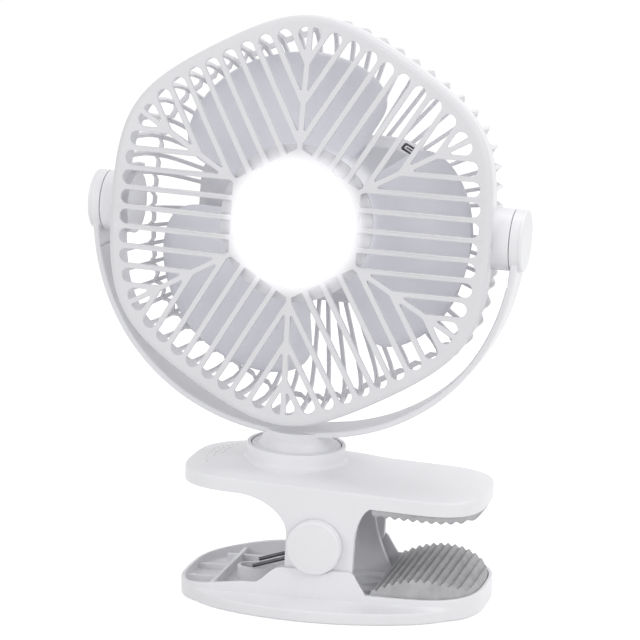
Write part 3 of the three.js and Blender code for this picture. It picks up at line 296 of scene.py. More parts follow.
MIDDLE = (0, 0, 0.13)
LAMPS = (("key", (1.5, -0.9, 1.0), 0.7, 7.5),
         ("fill", (-1.0, -1.3, 0.7), 0.9, 4.2),
         ("top", (0.2, 0.3, 1.6), 1.0, 6.8))


def make_lights():
    for name, position, size, power in LAMPS:
        data = bpy.data.lights.new(name, "AREA")
        data.shape, data.size, data.energy = "SQUARE", size, power
        lamp = bpy.data.objects.new(name, data)
        lamp.location = position
        lamp.rotation_euler = (Vector(MIDDLE) - Vector(position)).to_track_quat("-Z", "Y").to_euler()
        bpy.context.collection.objects.link(lamp)


make_camera()
make_world()
make_lights()
make_floor()
dress_nodes()

# ---- sizes of the solids, in millimetres
GAP = 0.3
JAW_TILT, HEAD_TILT, ROTOR_TURN = 3, 5, -12
CLIP_HALF_LENGTH, CLIP_CENTRE_X, CLIP_SHARPNESS = 70, 1.4, 3
PLATE_HALF_WIDTH = 32
TRAY_WALL, TRAY_FLOOR, TRAY_HEIGHT = 1.7, 3, 9.8
TRAY_HALF_LENGTH = CLIP_HALF_LENGTH + 0.8
TRAY_HALF_WIDTH = PLATE_HALF_WIDTH + GAP + TRAY_WALL
TRAY_END_HEIGHT, TRAY_HANDLE_HEIGHT, TRAY_HANDLE_X = 7.5, 12.2, -30
FOOT_BULGE, FOOT_HALF_LENGTH, FOOT_HEIGHT, FOOT_LEDGE_HEIGHT = 14, 58, 5.3, 6.9
HINGE_HEIGHT = 30.7
HINGE_BORE = 4.3
EAR_THICKNESS, EAR_RADIUS = 3.4, 13.6
SADDLE_LEFT, SADDLE_RIGHT, SADDLE_FOOT, SADDLE_HEIGHT = -16, 17.5, 24, 20
CAP_RADIUS, CAP_DEPTH = 12.4, 5
PLATE_TOP, PLATE_DEPTH, PLATE_SKIN = 26.6, 6.8, 2.4
PLATE_BOTTOM = PLATE_TOP - PLATE_DEPTH
PLATE_EDGE, PLATE_CROWN, PLATE_CROWN_INSET = 1.2, 1.2, 9
SWIVEL_X = -19.5
PAD_START_X = 24.5
SOCKET_RADIUS, SOCKET_WALL, SOCKET_HEIGHT, SOCKET_FLOOR = 22.6, 1.8, 11, 6
SWELL_HEIGHT, SWELL_START, SWELL_END, SWELL_HALF_WIDTH = 2.9, SOCKET_RADIUS - 4, SOCKET_RADIUS + 24, 30.8
SPINDLE_RADIUS = 6
PIVOT_ABOVE_SOCKET = 103.4
HEAD_FLAT = 87
PIVOT_DISC_X, PIVOT_DISC_RADIUS = HEAD_FLAT + 7.2, 13.8
PIVOT_BORE, PIVOT_HEAD_RADIUS, PIVOT_CAP = 3.3, 5, 1.7
BOSS_START, BOSS_END = HEAD_FLAT - 6.5, PIVOT_DISC_X - GAP
YOKE_INNER, YOKE_THICKNESS, YOKE_WIDTH, YOKE_SHARPNESS = PIVOT_DISC_X + 1, 3, 21, 2.12
YOKE_OUTER = YOKE_INNER + YOKE_THICKNESS
CORNER_SHARPNESS = 7.2
RIB_PITCH, RIB_WIDTH, SLOTS_PER_HALF_SIDE = 8.8, 2.3, 5
SLOT_END = HEAD_FLAT - 4.8
LENS_FLAT, HUB_FLAT = 26.4, 29
FACE_DEPTH, FACE_CURVE, FACE_THICKNESS = 25, 0.0007, 3.2
PARTING_DEPTH = 14.5
MOTOR_RADIUS = 16.5
BUTTON_OFFSET, BUTTON_RADIUS, DOT_RADIUS = 9, 5, 0.9
SCREW_CIRCLE, SCREW_TURNS = 24, (radians(45), radians(135), radians(225), radians(315))
SCREW_SPOTS = [(SCREW_CIRCLE * cos(t), 0, SCREW_CIRCLE * sin(t)) for t in SCREW_TURNS]

JAW = Matrix.Translation((0, 0, HINGE_HEIGHT)) @ Matrix.Rotation(radians(JAW_TILT), 4, "Y")
YOKE = JAW @ Matrix.Translation((SWIVEL_X, 0, PLATE_TOP + SOCKET_HEIGHT + PIVOT_ABOVE_SOCKET))
HEAD = YOKE @ Matrix.Rotation(-radians(HEAD_TILT), 4, "X")
ROTOR = HEAD @ Matrix.Rotation(-radians(ROTOR_TURN), 4, "Y")


# ---- outlines
def mixed(one, other, share):
    return one + (other - one) * share


def smoothstep(value, low, high):
    share = min(1, max(0, (value - low) / (high - low)))
    return share * share * (3 - 2 * share)


def bezier(a, b, c, d, steps=12):
    """Points of a cubic curve, without its first one."""
    points = []
    for t in (i / steps for i in range(1, steps + 1)):
        s = 1 - t
        weights = (s ** 3, 3 * s * s * t, 3 * s * t * t, t ** 3)
        points.append(tuple(sum(w * p[k] for w, p in zip(weights, (a, b, c, d))) for k in (0, 1)))
    return points


def eased(points, closed=False, steps=5):
    """Rounds the corners of a line of (a, b) or (a, b, radius) points."""
    made = []
    for i, point in enumerate(points):
        here = Vector(point[:2])
        if len(point) < 3 or (not closed and i in (0, len(points) - 1)):
            made.append(tuple(here))
            continue
        before = Vector(points[i - 1][:2]) - here
        after = Vector(points[(i + 1) % len(points)][:2]) - here
        half = before.angle(after) / 2
        reach = min(point[2] / tan(half), before.length * 0.49, after.length * 0.49)
        start, end = here + before.normalized() * reach, here + after.normalized() * reach
        radius = reach * tan(half)
        centre = here + (before.normalized() + after.normalized()).normalized() * radius / sin(half)
        first, last = (start - centre).normalized(), (end - centre).normalized()
        made += [tuple(centre + first.slerp(last, s / steps) * radius) for s in range(steps + 1)]
    return made


def inward(points, amount):
    """Moves a closed outline's points inwards by amount, square to it."""
    turn = sum(a[0] * b[1] - b[0] * a[1] for a, b in zip(points, points[1:] + points[:1]))
    side = copysign(1, turn)
    made = []
    for i, (a, b) in enumerate(points):
        before, after = points[i - 1], points[(i + 1) % len(points)]
        one = Vector((before[1] - b, a - before[0])).normalized() * side
        two = Vector((b - after[1], after[0] - a)).normalized() * side
        reach = (one + two) / max(0.4, 1 + one.dot(two)) * amount
        made.append((a + reach.x, b + reach.y))
    return made


def edged(edge, steps=4):
    """The steps of a rounded edge: how deep, and how far inwards."""
    turns = [pi / 2 * i / steps for i in range(steps + 1)]
    return [(edge * (1 - cos(t)), edge * (1 - sin(t))) for t in turns]


def low_edge(low, edge, steps=4):
    """Levels (inset, height) of an outline's rounded lower edge."""
    return [(inset, low + depth) for depth, inset in edged(edge, steps)]


def high_edge(high, edge, steps=4):
    return [(inset, high - depth) for depth, inset in reversed(edged(edge, steps))]


def circle(steps):
    return [2 * pi * i / steps for i in range(steps)]


def squarish(angle, sharpness):
    c, s = cos(angle), sin(angle)
    reach = (abs(c) ** sharpness + abs(s) ** sharpness) ** (-1 / sharpness)
    return c * reach, s * reach


def round_end(centre_x, radius, steps=36):
    round_line = (squarish(radians(-90 + 180 * i / steps), CLIP_SHARPNESS) for i in range(steps + 1))
    return [(centre_x + radius * x, radius * y) for x, y in round_line]


def clip_outline(half_length, half_width, bulge=0, side_steps=40):
    straight = half_length - half_width
    points = []
    for end in (1, -1):
        points += [(end * x, end * y) for x, y in round_end(straight, half_width)]
        points += [(end * straight * (1 - 2 * i / side_steps), end * half_width) for i in range(1, side_steps)]
    swells = (bulge * max(0, 1 - (x / FOOT_HALF_LENGTH) ** 2) for x, y in points)
    return [(x + CLIP_CENTRE_X, y + copysign(swell, y)) for (x, y), swell in zip(points, swells)]


def hex_factor(angle):
    sides = (abs(cos(angle - radians(side))) ** CORNER_SHARPNESS for side in (0, 60, 120))
    return sum(sides) ** (-1 / CORNER_SHARPNESS)


# ---- solids
def solid(points, faces):
    mesh = bpy.data.meshes.new("solid")
    mesh.from_pydata([tuple(point) for point in points], [], faces)
    tidy = bmesh.new()
    tidy.from_mesh(mesh)
    bmesh.ops.remove_doubles(tidy, verts=tidy.verts, dist=1e-4)
    bmesh.ops.recalc_face_normals(tidy, faces=tidy.faces)
    tidy.to_mesh(mesh)
    tidy.free()
    return mesh


def band(one, two, count):
    """Faces between two rings of count points, each given by its first point's number."""
    return [(one + k, one + (k + 1) % count, two + (k + 1) % count, two + k) for k in range(count)]


def skin(rings, loop=False, across=None, ends=True):
    """Joins rings of equally many points; the end rings are filled, or the last joins the first.

    With across, strips fill the last ring between its two sides, which mirror each other about that point.
    """
    count = len(rings[0])
    faces = []
    for i in range(len(rings) - (0 if loop else 1)):
        faces += band(i * count, (i + 1) % len(rings) * count, count)
    if ends and not loop:
        last = (len(rings) - 1) * count
        faces.append(tuple(reversed(range(count))))
        if across is None:
            faces.append(tuple(range(last, last + count)))
        else:
            for k in range(across, across + count // 2):
                corners = (k, k + 1, 2 * across - k - 1, 2 * across - k)
                faces.append(tuple(dict.fromkeys(last + corner % count for corner in corners)))
    return solid([point for ring in rings for point in ring], faces)


AXES = {"x": lambda a, b, h: (h, a, b), "y": lambda a, b, h: (a, h, b), "z": lambda a, b, h: (a, b, h)}


def turned(profile, axis="z", steps=96, centre=(0, 0, 0), factor=None, closed=False):
    """Turns a line of (radius, height) points about an axis; factor shapes the round by its angle."""
    rings = []
    for radius, height in profile:
        ring = []
        for turn in circle(steps):
            reach = radius * (factor(turn) if factor else 1)
            spot = AXES[axis](reach * cos(turn), reach * sin(turn), height)
            ring.append([p + c for p, c in zip(spot, centre)])
        rings.append(ring)
    return skin(rings, closed, ends=False)


def drum(radius, low, high):
    return [(0, low), (radius, low), (radius, high), (0, high)]


def mirrored(profile, side):
    return [(r, side * x) for r, x in profile]


def both_sides(profile, steps=96):
    """The same turned solid at the left and right pivots."""
    return [turned(mirrored(profile, side), "x", steps) for side in (-1, 1)]


def head_turned(profile, steps=96, centre=(0, 0, 0), factor=None):
    """Turns (radius, depth in front) points about the head's axis, whose front is -Y."""
    return turned(mirrored(profile, -1), "y", steps, centre, factor)


def button_profile(radius, low, high, edge, dome=0.0):
    """A drum from low to high whose end at high is rounded and a little domed."""
    side = copysign(1, high - low)
    line = eased([(0, low), (radius, low), (radius, high, edge), (radius * 0.5, high + side * dome)])
    return line + [(0, high + side * dome * 1.15)]


def lofted(levels, outline, axis="z", across=None):
    """Skins levels of (what the outline takes, height); a height may depend on x and y."""
    rings = []
    for *shape, height in levels:
        points = outline(*shape)
        rings.append([AXES[axis](x, y, height(x, y) if callable(height) else height) for x, y in points])
    return skin(rings, across=across)


def prism(outline, low, high, edge=0.5, axis="y"):
    """Extrudes a closed outline along an axis, with rounded edges."""
    low, high = min(low, high), max(low, high)
    levels = low_edge(low, edge) + high_edge(high, edge) if edge else [(0, low), (0, high)]
    return lofted(levels, lambda inset: inward(outline, inset), axis)


def slab(x, y, z, edge=0.3):
    return prism([(x[0], z[0]), (x[1], z[0]), (x[1], z[1]), (x[0], z[1])], y[0], y[1], edge)


def boolean(mesh, other, operation):
    pair = [bpy.data.objects.new("solid", data) for data in (mesh, other)]
    for one in pair:
        bpy.context.collection.objects.link(one)
    made = pair[0].modifiers.new("solid", "BOOLEAN")
    made.operation, made.solver, made.object = operation, "MANIFOLD", pair[1]
    shown = pair[0].evaluated_get(bpy.context.evaluated_depsgraph_get())
    result = bpy.data.meshes.new_from_object(shown)
    for one, data in zip(pair, (mesh, other)):
        bpy.data.objects.remove(one)
        bpy.data.meshes.remove(data)
    return result


def joined(mesh, *others):
    for other in others:
        mesh = boolean(mesh, other, "UNION")
    return mesh


def cut(mesh, *tools):
    for tool in tools:
        mesh = boolean(mesh, tool, "DIFFERENCE")
    return mesh


def piece(name, mesh, slot, body, replaced=(), place=None, sharp=32, look=None):
    """Puts a mesh, in millimetres, into the scene as a named piece that rides on a body."""
    mesh.transform(Matrix.Scale(MM, 4) @ (place or Matrix()))
    mesh.shade_smooth()
    mesh.set_sharp_from_angle(angle=radians(sharp))
    mesh.materials.clear()
    mesh.materials.append(MATERIALS[look or slot])
    made = bpy.data.objects.new(name, mesh)
    bpy.context.collection.objects.link(made)
    made.modifiers.new("shading", "WEIGHTED_NORMAL").keep_sharp = True
    if body:
        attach(made, body)
    if replaced:
        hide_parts(*replaced)
    return made


# ---- lower jaw
def rim_height(x):
    handle = mixed(TRAY_END_HEIGHT, TRAY_HANDLE_HEIGHT,
                   smoothstep(x, CLIP_CENTRE_X - TRAY_HALF_LENGTH, TRAY_HANDLE_X))
    return mixed(handle, TRAY_HEIGHT, smoothstep(x, TRAY_HANDLE_X, SADDLE_RIGHT))


def tray_outline(inset, bulge=0):
    return clip_outline(TRAY_HALF_LENGTH - inset, TRAY_HALF_WIDTH - inset, bulge)


def below_rim(drop):
    return lambda x, y: rim_height(x) - drop


def tray_shell():
    levels = [(inset, FOOT_BULGE, z) for inset, z in low_edge(0, 0.8)]
    levels += [(0, FOOT_BULGE - inset, z) for inset, z in high_edge(FOOT_HEIGHT, 0.9)]
    for bulge in (11, 8, 5, 2.5, 1, 0.3, 0):
        rise = (1 - bulge / FOOT_BULGE) ** 1.6
        levels.append((0, bulge, mixed(FOOT_HEIGHT, FOOT_LEDGE_HEIGHT, rise)))
    levels += [(inset, 0, below_rim(depth)) for depth, inset in reversed(edged(0.5))]
    return lofted(levels, tray_outline)


def tray_pocket():
    levels = [(TRAY_WALL + inset, 0, z) for inset, z in low_edge(TRAY_FLOOR, 1)]
    levels += [(TRAY_WALL - inset, 0, below_rim(drop)) for inset, drop in ((0, 0.5), (0.13, 0.14), (0.5, -0.02))]
    levels.append((TRAY_WALL - 0.5, 0, HINGE_HEIGHT))
    return lofted(levels, tray_outline)


def saddle(side):
    foot = rim_height(TRAY_HANDLE_X) - 1
    top, x = SADDLE_HEIGHT, TRAY_HANDLE_X
    outline = [(x, TRAY_FLOOR), (x, foot)]
    outline += bezier((x, foot), (x + 6, foot + 1.5), (SADDLE_LEFT - 5, top - 0.5), (SADDLE_LEFT, top))
    outline += [(SADDLE_RIGHT - 1.6, top), (SADDLE_RIGHT - 0.5, top - 0.4)]
    outline += bezier((SADDLE_RIGHT, top), (SADDLE_RIGHT + 1, top - 3), (SADDLE_FOOT - 2, TRAY_HEIGHT + 2),
                      (SADDLE_FOOT, TRAY_HEIGHT - 1))[1:]
    outline += [(SADDLE_FOOT, TRAY_FLOOR)]
    return prism(outline, side * (TRAY_HALF_WIDTH - TRAY_WALL), side * TRAY_HALF_WIDTH, 0.4)


def lower_ear(side):
    radius, z = EAR_RADIUS, HINGE_HEIGHT
    outline = [(-24, 1.5)]
    outline += bezier((-24, 1.5), (-20, TRAY_HEIGHT), (-radius, TRAY_HEIGHT * 2), (-radius, z))
    turns = (pi * (1 - i / 32) for i in range(1, 32))
    outline += [(radius * cos(t), z + radius * sin(t)) for t in turns]
    outline += [(radius, z)]
    outline += bezier((radius, z), (radius, TRAY_HEIGHT * 2), (19, TRAY_HEIGHT), (22, 1.5))
    middle = PLATE_HALF_WIDTH - EAR_THICKNESS * 1.5 - GAP
    return prism(outline, side * middle - EAR_THICKNESS / 2, side * middle + EAR_THICKNESS / 2, 0.5)


def ellipse(half_length, half_width, centre_x, steps=64):
    return [(centre_x + half_length * cos(t), half_width * sin(t)) for t in circle(steps)]


RIB_HALF, CROSS_RIB_X, SIDE_RIB_X, RING_X, RING_TOP, CLEAR_Y = 0.8, -51, (-58, -21), -36, 9.4, 33


def tray_ribs():
    low = TRAY_FLOOR - 0.5
    reach = TRAY_HALF_WIDTH - TRAY_WALL + 0.2
    end_x = CLIP_CENTRE_X - TRAY_HALF_LENGTH + TRAY_WALL / 2

    def top(x):
        return rim_height(x) - 2

    ribs = [slab((CROSS_RIB_X - RIB_HALF, CROSS_RIB_X + RIB_HALF), (-reach, reach), (low, top(CROSS_RIB_X)))]
    for side in (-1, 1):
        for x, offset, height in (((end_x, CROSS_RIB_X), 9, top(end_x)), (SIDE_RIB_X, 24, top(SIDE_RIB_X[0]))):
            ribs.append(slab(x, (side * offset - RIB_HALF, side * offset + RIB_HALF), (low, height)))
    for i, y in enumerate((-13, 1, 15)):
        ribs.append(slab((3, PAD_START_X - GAP), (y - 3, y + 3), (low, TRAY_FLOOR + 4 - i), 0.5))
    return ribs


def lower_jaw():
    tray = cut(tray_shell(), tray_pocket())
    for side in (-1, 1):
        tray = joined(tray, saddle(side), lower_ear(side))
    tray = joined(tray, *tray_ribs())
    levels = [(0, 2)] + high_edge(RING_TOP, 0.4)
    ring = lofted(levels, lambda inset: inward(ellipse(10, 6.2, RING_X), inset))
    bore = lofted([(TRAY_FLOOR + 1,), (14,)], lambda: ellipse(8.4, 4.6, RING_X))
    tray = cut(joined(tray, ring), bore)
    hinge = (0, 0, HINGE_HEIGHT)
    tools = [turned(drum(HINGE_BORE, -CLEAR_Y, CLEAR_Y), "y", 64, hinge)]
    tools += [turned(drum(CAP_RADIUS + 2 * GAP, side * 32, side * 36), "y", 96, hinge) for side in (-1, 1)]
    return cut(tray, *tools)


piece("lower_tray", lower_jaw(), "white_plastic", "clip_base", ["lower_jaw"])


# ---- pads
def ridged_strip(end_x, ridges, depth, base, crest):
    side = copysign(1, crest(PAD_START_X) - base)
    points = [(PAD_START_X, base)]
    steps = ridges * 12
    for i in range(steps + 1):
        x = mixed(PAD_START_X, end_x, i / steps)
        points.append((x, crest(x) - side * depth * abs(cos(pi * i / 12)) ** 2.5))
    return points + [(end_x, base)]


def pad(levels, half_length, half_width, strip):
    def outline(inset):
        width = half_width - inset
        end = round_end(CLIP_CENTRE_X + half_length - inset - width, width)
        return [(PAD_START_X, width), (PAD_START_X, -width)] + end

    return boolean(lofted(levels, outline), prism(strip, -TRAY_HALF_WIDTH, TRAY_HALF_WIDTH, 0), "INTERSECT")


def lower_pad():
    inset = TRAY_WALL + GAP
    half_length, half_width = TRAY_HALF_LENGTH - inset, TRAY_HALF_WIDTH - inset
    end_x = CLIP_CENTRE_X + half_length
    edge_top, arch = TRAY_HEIGHT + 1.4, 6.8
    middle = (PAD_START_X + end_x) / 2

    def crest(x):
        return edge_top + arch * (1 - ((x - middle) / (end_x - middle)) ** 2)

    strip = ridged_strip(end_x, 13, 1.4, TRAY_FLOOR + GAP, crest)
    levels = [(0, TRAY_FLOOR + GAP), (0, TRAY_HEIGHT)]
    levels += [(3 * s ** 1.3, mixed(TRAY_HEIGHT, edge_top + arch + 1, s)) for s in (0.2, 0.4, 0.6, 0.8, 1)]
    return pad(levels, half_length, half_width, strip)


def upper_pad():
    half_length, half_width = CLIP_HALF_LENGTH - 1.4, PLATE_HALF_WIDTH - 1.4
    top = PLATE_BOTTOM - GAP
    low = top - 3.5
    strip = ridged_strip(CLIP_CENTRE_X + half_length, 11, 1.3, top, lambda x: low)
    levels = [(1, low - 1), (0.5, low + 0.6), (0, low + 1.6), (0, top)]
    return pad(levels, half_length, half_width, strip)


piece("lower_pad_ridged", lower_pad(), "grey_rubber", "clip_base", ["lower_pad"], sharp=60)
piece("upper_pad_ridged", upper_pad(), "grey_rubber", "jaw", ["upper_pad"], JAW, sharp=60)


# ---- upper jaw, about its hinge
def plate_swell(x, y):
    """How far the plate's top rises round the swivel's socket."""
    lift = SWELL_HEIGHT * (1 - smoothstep(abs(x - SWIVEL_X), SWELL_START, SWELL_END))
    return lift * (1 - min(1, abs(y) / SWELL_HALF_WIDTH) ** 4)


def with_swell(height):
    return lambda x, y: height + plate_swell(x, y)


def plate_block():
    levels = low_edge(PLATE_BOTTOM, 0.5) + high_edge(PLATE_TOP, PLATE_EDGE, 6)
    for s in (0.06, 0.16, 0.3, 0.45, 0.6, 0.75, 0.88, 1):
        crown = PLATE_TOP + PLATE_CROWN * (1 - (1 - s) ** 2)
        levels.append((mixed(PLATE_EDGE, PLATE_CROWN_INSET, s), with_swell(crown)))
    levels += [(inset, with_swell(PLATE_TOP + PLATE_CROWN)) for inset in (11, 13.5, 16, 19, 22, 25, 28, 30.5)]

    def outline(inset):
        return clip_outline(CLIP_HALF_LENGTH - inset, PLATE_HALF_WIDTH - inset)

    return lofted(levels, outline, across=18)


def plate_hollow():
    points = []
    for x, y in clip_outline(CLIP_HALF_LENGTH - 2.6, PLATE_HALF_WIDTH - 2.6):
        spot = (min(x, PAD_START_X - 4), y)
        if not points or dist(points[-1], spot) > 0.01:
            points.append(spot)
    return prism(points, PLATE_BOTTOM - 3, PLATE_TOP - PLATE_SKIN, 1, "z")


def upper_ear(side):
    root, base = PLATE_BOTTOM + 1, PLATE_BOTTOM
    left, right, drop, corner = -14, 17.4, -13, 3
    end = PAD_START_X - 2 * GAP
    outline = [(left - 22, root), (left - 22, base)]
    outline += bezier((left - 22, base), (left - 10, base - 1), (left, base - 8), (left, 3), 20)
    outline += eased([(left, 3), (left, drop, corner), (right, drop, corner), (right, 3)])[1:-1]
    outline += [(right, 3)]
    outline += bezier((right, 3), (right, base - 9), (right + 3, base - 2), (end, base), 20)
    outline += [(end, root)]
    return prism(outline, side * (PLATE_HALF_WIDTH - EAR_THICKNESS), side * PLATE_HALF_WIDTH, 0.5)


def swivel_socket():
    inner, low, top = SOCKET_RADIUS - SOCKET_WALL, PLATE_TOP - 1, PLATE_TOP
    bore, rim, skirt = SPINDLE_RADIUS + GAP, top + SOCKET_HEIGHT, SOCKET_RADIUS + 3
    profile = eased([(bore, low), (skirt, low), (skirt, top + 2.4), (SOCKET_RADIUS + 0.2, top + 5, 2.4),
                     (SOCKET_RADIUS, rim, 0.6), (inner, rim, 0.4), (inner, top + SOCKET_FLOOR, 0.6),
                     (bore, top + SOCKET_FLOOR)], True)
    return turned(profile, "z", 128, (SWIVEL_X, 0, 0), closed=True)


PIT_ROWS = ((34.6, 152, 182, 7), (37.6, 157, 190, 7), (40.8, 162, 205, 9))
PIT_RADIUS, PIT_DEPTH = 0.55, 0.8


def plate_pits():
    """Three arced rows of tiny pits in the plate, beside the swivel."""
    points, faces = [], []
    for radius, first, last, count in PIT_ROWS:
        for i in range(count):
            angle = radians(mixed(first, last, i / (count - 1)))
            x, y = SWIVEL_X + radius * cos(angle), radius * sin(angle)
            start = len(points)
            floor = PLATE_TOP + PLATE_CROWN + plate_swell(x, y) - PIT_DEPTH
            for z in (floor, floor + 4):
                points += [(x + PIT_RADIUS * cos(t), y + PIT_RADIUS * sin(t), z) for t in circle(8)]
            faces += [tuple(start + k for k in range(8)), tuple(start + 8 + k for k in range(8))]
            faces += band(start, start + 8, 8)
    return solid(points, faces)


def upper_jaw():
    plate = joined(cut(plate_block(), plate_hollow()), upper_ear(-1), upper_ear(1), swivel_socket())
    swivel = (SWIVEL_X, 0, 0)
    spindle = turned(drum(SPINDLE_RADIUS + GAP, 15, 29), "z", 64, swivel)
    hinge = turned(drum(HINGE_BORE, -CLEAR_Y, CLEAR_Y), "y", 64)
    well = turned(drum(SOCKET_RADIUS - SOCKET_WALL, PLATE_TOP + SOCKET_FLOOR, 45), "z", 128, swivel)
    return cut(plate, spindle, hinge, well, plate_pits())


piece("clip_plate", upper_jaw(), "white_plastic", "jaw", ["upper_jaw"], JAW)
for side, where in ((-1, "front"), (1, "rear")):
    low = PLATE_HALF_WIDTH + GAP
    profile = button_profile(CAP_RADIUS, low, low + CAP_DEPTH - 0.25, 1.1, 0.2)
    cap, pocket = (turned(mirrored(line, side), "y") for line in (profile, drum(6.8, low - 1, low + 1.9)))
    cap = cut(cap, pocket)
    piece(f"hinge_button_{where}", cap, "white_plastic", "jaw", [f"hinge_cap_{where}"], JAW)

# ---- torsion spring
COIL_RADIUS, WIRE_RADIUS, WIRE_PITCH, FULL_CURLS, LEG_Y = 8, 0.9, 2.7, 3, 5.4
LOWER_SLOPE, UPPER_SLOPE, LOWER_END_X, CORNER = 17.5, 25.4, -37, 2


def upper_end_x(end):
    """Where the rising upper leg meets the underside of the leaning plate."""
    slope, tilt = tan(radians(UPPER_SLOPE)), radians(JAW_TILT)
    ceiling = (PLATE_TOP - PLATE_SKIN) / cos(tilt)
    clear = WIRE_RADIUS / cos(radians(UPPER_SLOPE)) + GAP
    return (ceiling - end[2] - clear - end[0] * slope) / (tan(tilt) - slope)


def spring_path(steps_per_curl=28):
    """Centres of the double torsion spring's wire, about the hinge."""
    first, last = LOWER_SLOPE - 90, 90 - UPPER_SLOPE + 360 * FULL_CURLS
    steps = round((last - first) / 360 * steps_per_curl)
    half = []
    for i in range(steps + 1):
        turn = radians(mixed(first, last, i / steps))
        y = -LEG_Y - WIRE_PITCH * (last - first) / 360 * i / steps
        half.append((COIL_RADIUS * cos(turn), y, COIL_RADIUS * sin(turn)))
    start, end = half[0], half[-1]
    low = start[2] + tan(radians(LOWER_SLOPE)) * (LOWER_END_X - start[0])
    rise = tan(radians(UPPER_SLOPE))
    end_x = upper_end_x(end)
    bend = []
    for turn in (pi / 2 * i / 8 for i in range(9)):
        x = end_x + CORNER * (1 - sin(turn))
        bend.append((x, end[1] + CORNER * (1 - cos(turn)), end[2] - rise * (x - end[0])))
    half = [(LOWER_END_X, -LEG_Y, low)] + half + bend
    rear = [(x, -y, z) for x, y, z in reversed(half)]
    return [Vector((x, y, z + HINGE_HEIGHT)) for x, y, z in half + rear]


def tube(path, radius, sides=16):
    rings = []
    across = Vector((0, 1, 0))
    for i, centre in enumerate(path):
        along = (path[min(i + 1, len(path) - 1)] - path[max(i - 1, 0)]).normalized()
        across = (across - along * across.dot(along)).normalized()
        out = along.cross(across)
        rings.append([centre + (across * cos(a) + out * sin(a)) * radius for a in circle(sides)])
    return skin(rings)


spring = piece("spring_wire", tube(spring_path(), WIRE_RADIUS), "spring_steel", None, ["torsion_spring"])
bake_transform(spring)


# ---- yoke, about the pivots
def yoke():
    steps = 150
    line = [squarish(pi * (1 + i / steps), YOKE_SHARPNESS) for i in range(steps + 1)]
    outline = [(YOKE_OUTER * x, YOKE_OUTER * z) for x, z in line]
    outline += [(YOKE_INNER * x, YOKE_INNER * z) for x, z in reversed(line)]
    strap = prism(outline, -YOKE_WIDTH / 2, YOKE_WIDTH / 2, 0.9)
    disc = eased([(0, PIVOT_DISC_X), (PIVOT_DISC_RADIUS, PIVOT_DISC_X, 0.4),
                  (PIVOT_DISC_RADIUS, YOKE_OUTER - 0.05, 0.05), (0, YOKE_OUTER - 0.05)])
    disc_radius = SOCKET_RADIUS - SOCKET_WALL - GAP
    plate_top = -PIVOT_ABOVE_SOCKET - SOCKET_HEIGHT
    disc_top, disc_low = -PIVOT_ABOVE_SOCKET - 0.4, plate_top + SOCKET_FLOOR + GAP
    low = plate_top - PLATE_SKIN - 3 * GAP - 1.5
    neck = eased([(0, low), (SPINDLE_RADIUS, low), (SPINDLE_RADIUS, disc_low), (disc_radius, disc_low),
                  (disc_radius, disc_top, 0.7), (17.4, disc_top, 0.8), (15.5, disc_top + 3.4, 2),
                  (15.5, -YOKE_INNER - 0.5), (0, -YOKE_INNER - 0.5)])
    strap = joined(strap, *both_sides(disc), turned(neck, "z"))
    pocket = drum(PIVOT_HEAD_RADIUS + GAP, YOKE_OUTER - 3.3, 100)
    room = slab((-PIVOT_DISC_X, PIVOT_DISC_X), (-YOKE_WIDTH, YOKE_WIDTH), (-20, 20), 0)
    return cut(strap, turned(drum(PIVOT_BORE, -99, 99), "x", 48), *both_sides(pocket, 64), room)


piece("yoke_strap", yoke(), "white_plastic", "yoke", ["yoke"], YOKE)
for side, where in ((-1, "left"), (1, "right")):
    profile = drum(PIVOT_HEAD_RADIUS, YOKE_OUTER - 1, YOKE_OUTER)[:3]
    profile += button_profile(PIVOT_DISC_RADIUS, YOKE_OUTER, YOKE_OUTER + PIVOT_CAP - 0.15, 0.9, 0.12)[1:]
    cap = turned(mirrored(profile, side), "x")
    piece(f"pivot_button_{where}", cap, "white_plastic", "yoke", [f"pivot_cap_{where}"], YOKE)


# ---- front grille
def hex_outline(flat, steps):
    return [(flat * hex_factor(t) * cos(t), flat * hex_factor(t) * sin(t)) for t in circle(steps)]


def reach_at(flat, along):
    out = flat
    for _ in range(8):
        radius = flat * hex_factor(atan2(along, out))
        out = sqrt(radius ** 2 - along ** 2)
    return out


def clipped(points, side):
    """Keeps the part of a closed outline where side(point) is positive."""
    made = []
    for point, after in zip(points, points[1:] + points[:1]):
        here, there = side(point), side(after)
        if here >= 0:
            made.append(point)
        if here * there < 0:
            made.append(tuple(mixed(a, b, here / (here - there)) for a, b in zip(point, after)))
    return made


def slot_outline(index):
    near, far = index * RIB_PITCH + RIB_WIDTH / 2, (index + 1) * RIB_PITCH - RIB_WIDTH / 2
    reach = (far - near) / 2
    end = reach_at(SLOT_END, (near + 2 * far) / 3)
    turns = [radians(-90 + 180 * i / 12) for i in range(13)]
    arc = [(end - reach + reach * cos(t), near + reach + reach * sin(t)) for t in turns]
    whole = [(HUB_FLAT, near), *arc, (HUB_FLAT, far)]
    return clipped(whole, lambda p: p[0] * 0.5 - p[1] * sqrt(0.75) - RIB_WIDTH / 2)


def finely(points, spacing):
    """Adds points along a closed outline so that none are further apart than spacing."""
    made = []
    for one, other in zip(points, points[1:] + points[:1]):
        parts = max(1, ceil(dist(one, other) / spacing))
        made += [tuple(mixed(a, b, i / parts) for a, b in zip(one, other)) for i in range(parts)]
    return made


def grille_holes():
    holes = [list(reversed(hex_outline(LENS_FLAT + GAP, 120)))]
    for turn in (radians(60 * side) for side in range(6)):
        c, s = cos(turn), sin(turn)
        for index in range(SLOTS_PER_HALF_SIDE):
            outline = slot_outline(index)
            for flip in (1, -1):
                points = [(c * a - s * b * flip, s * a + c * b * flip) for a, b in outline]
                holes.append(finely(eased([(*p, 0.5) for p in points], True, 2), 2.5))
    return holes


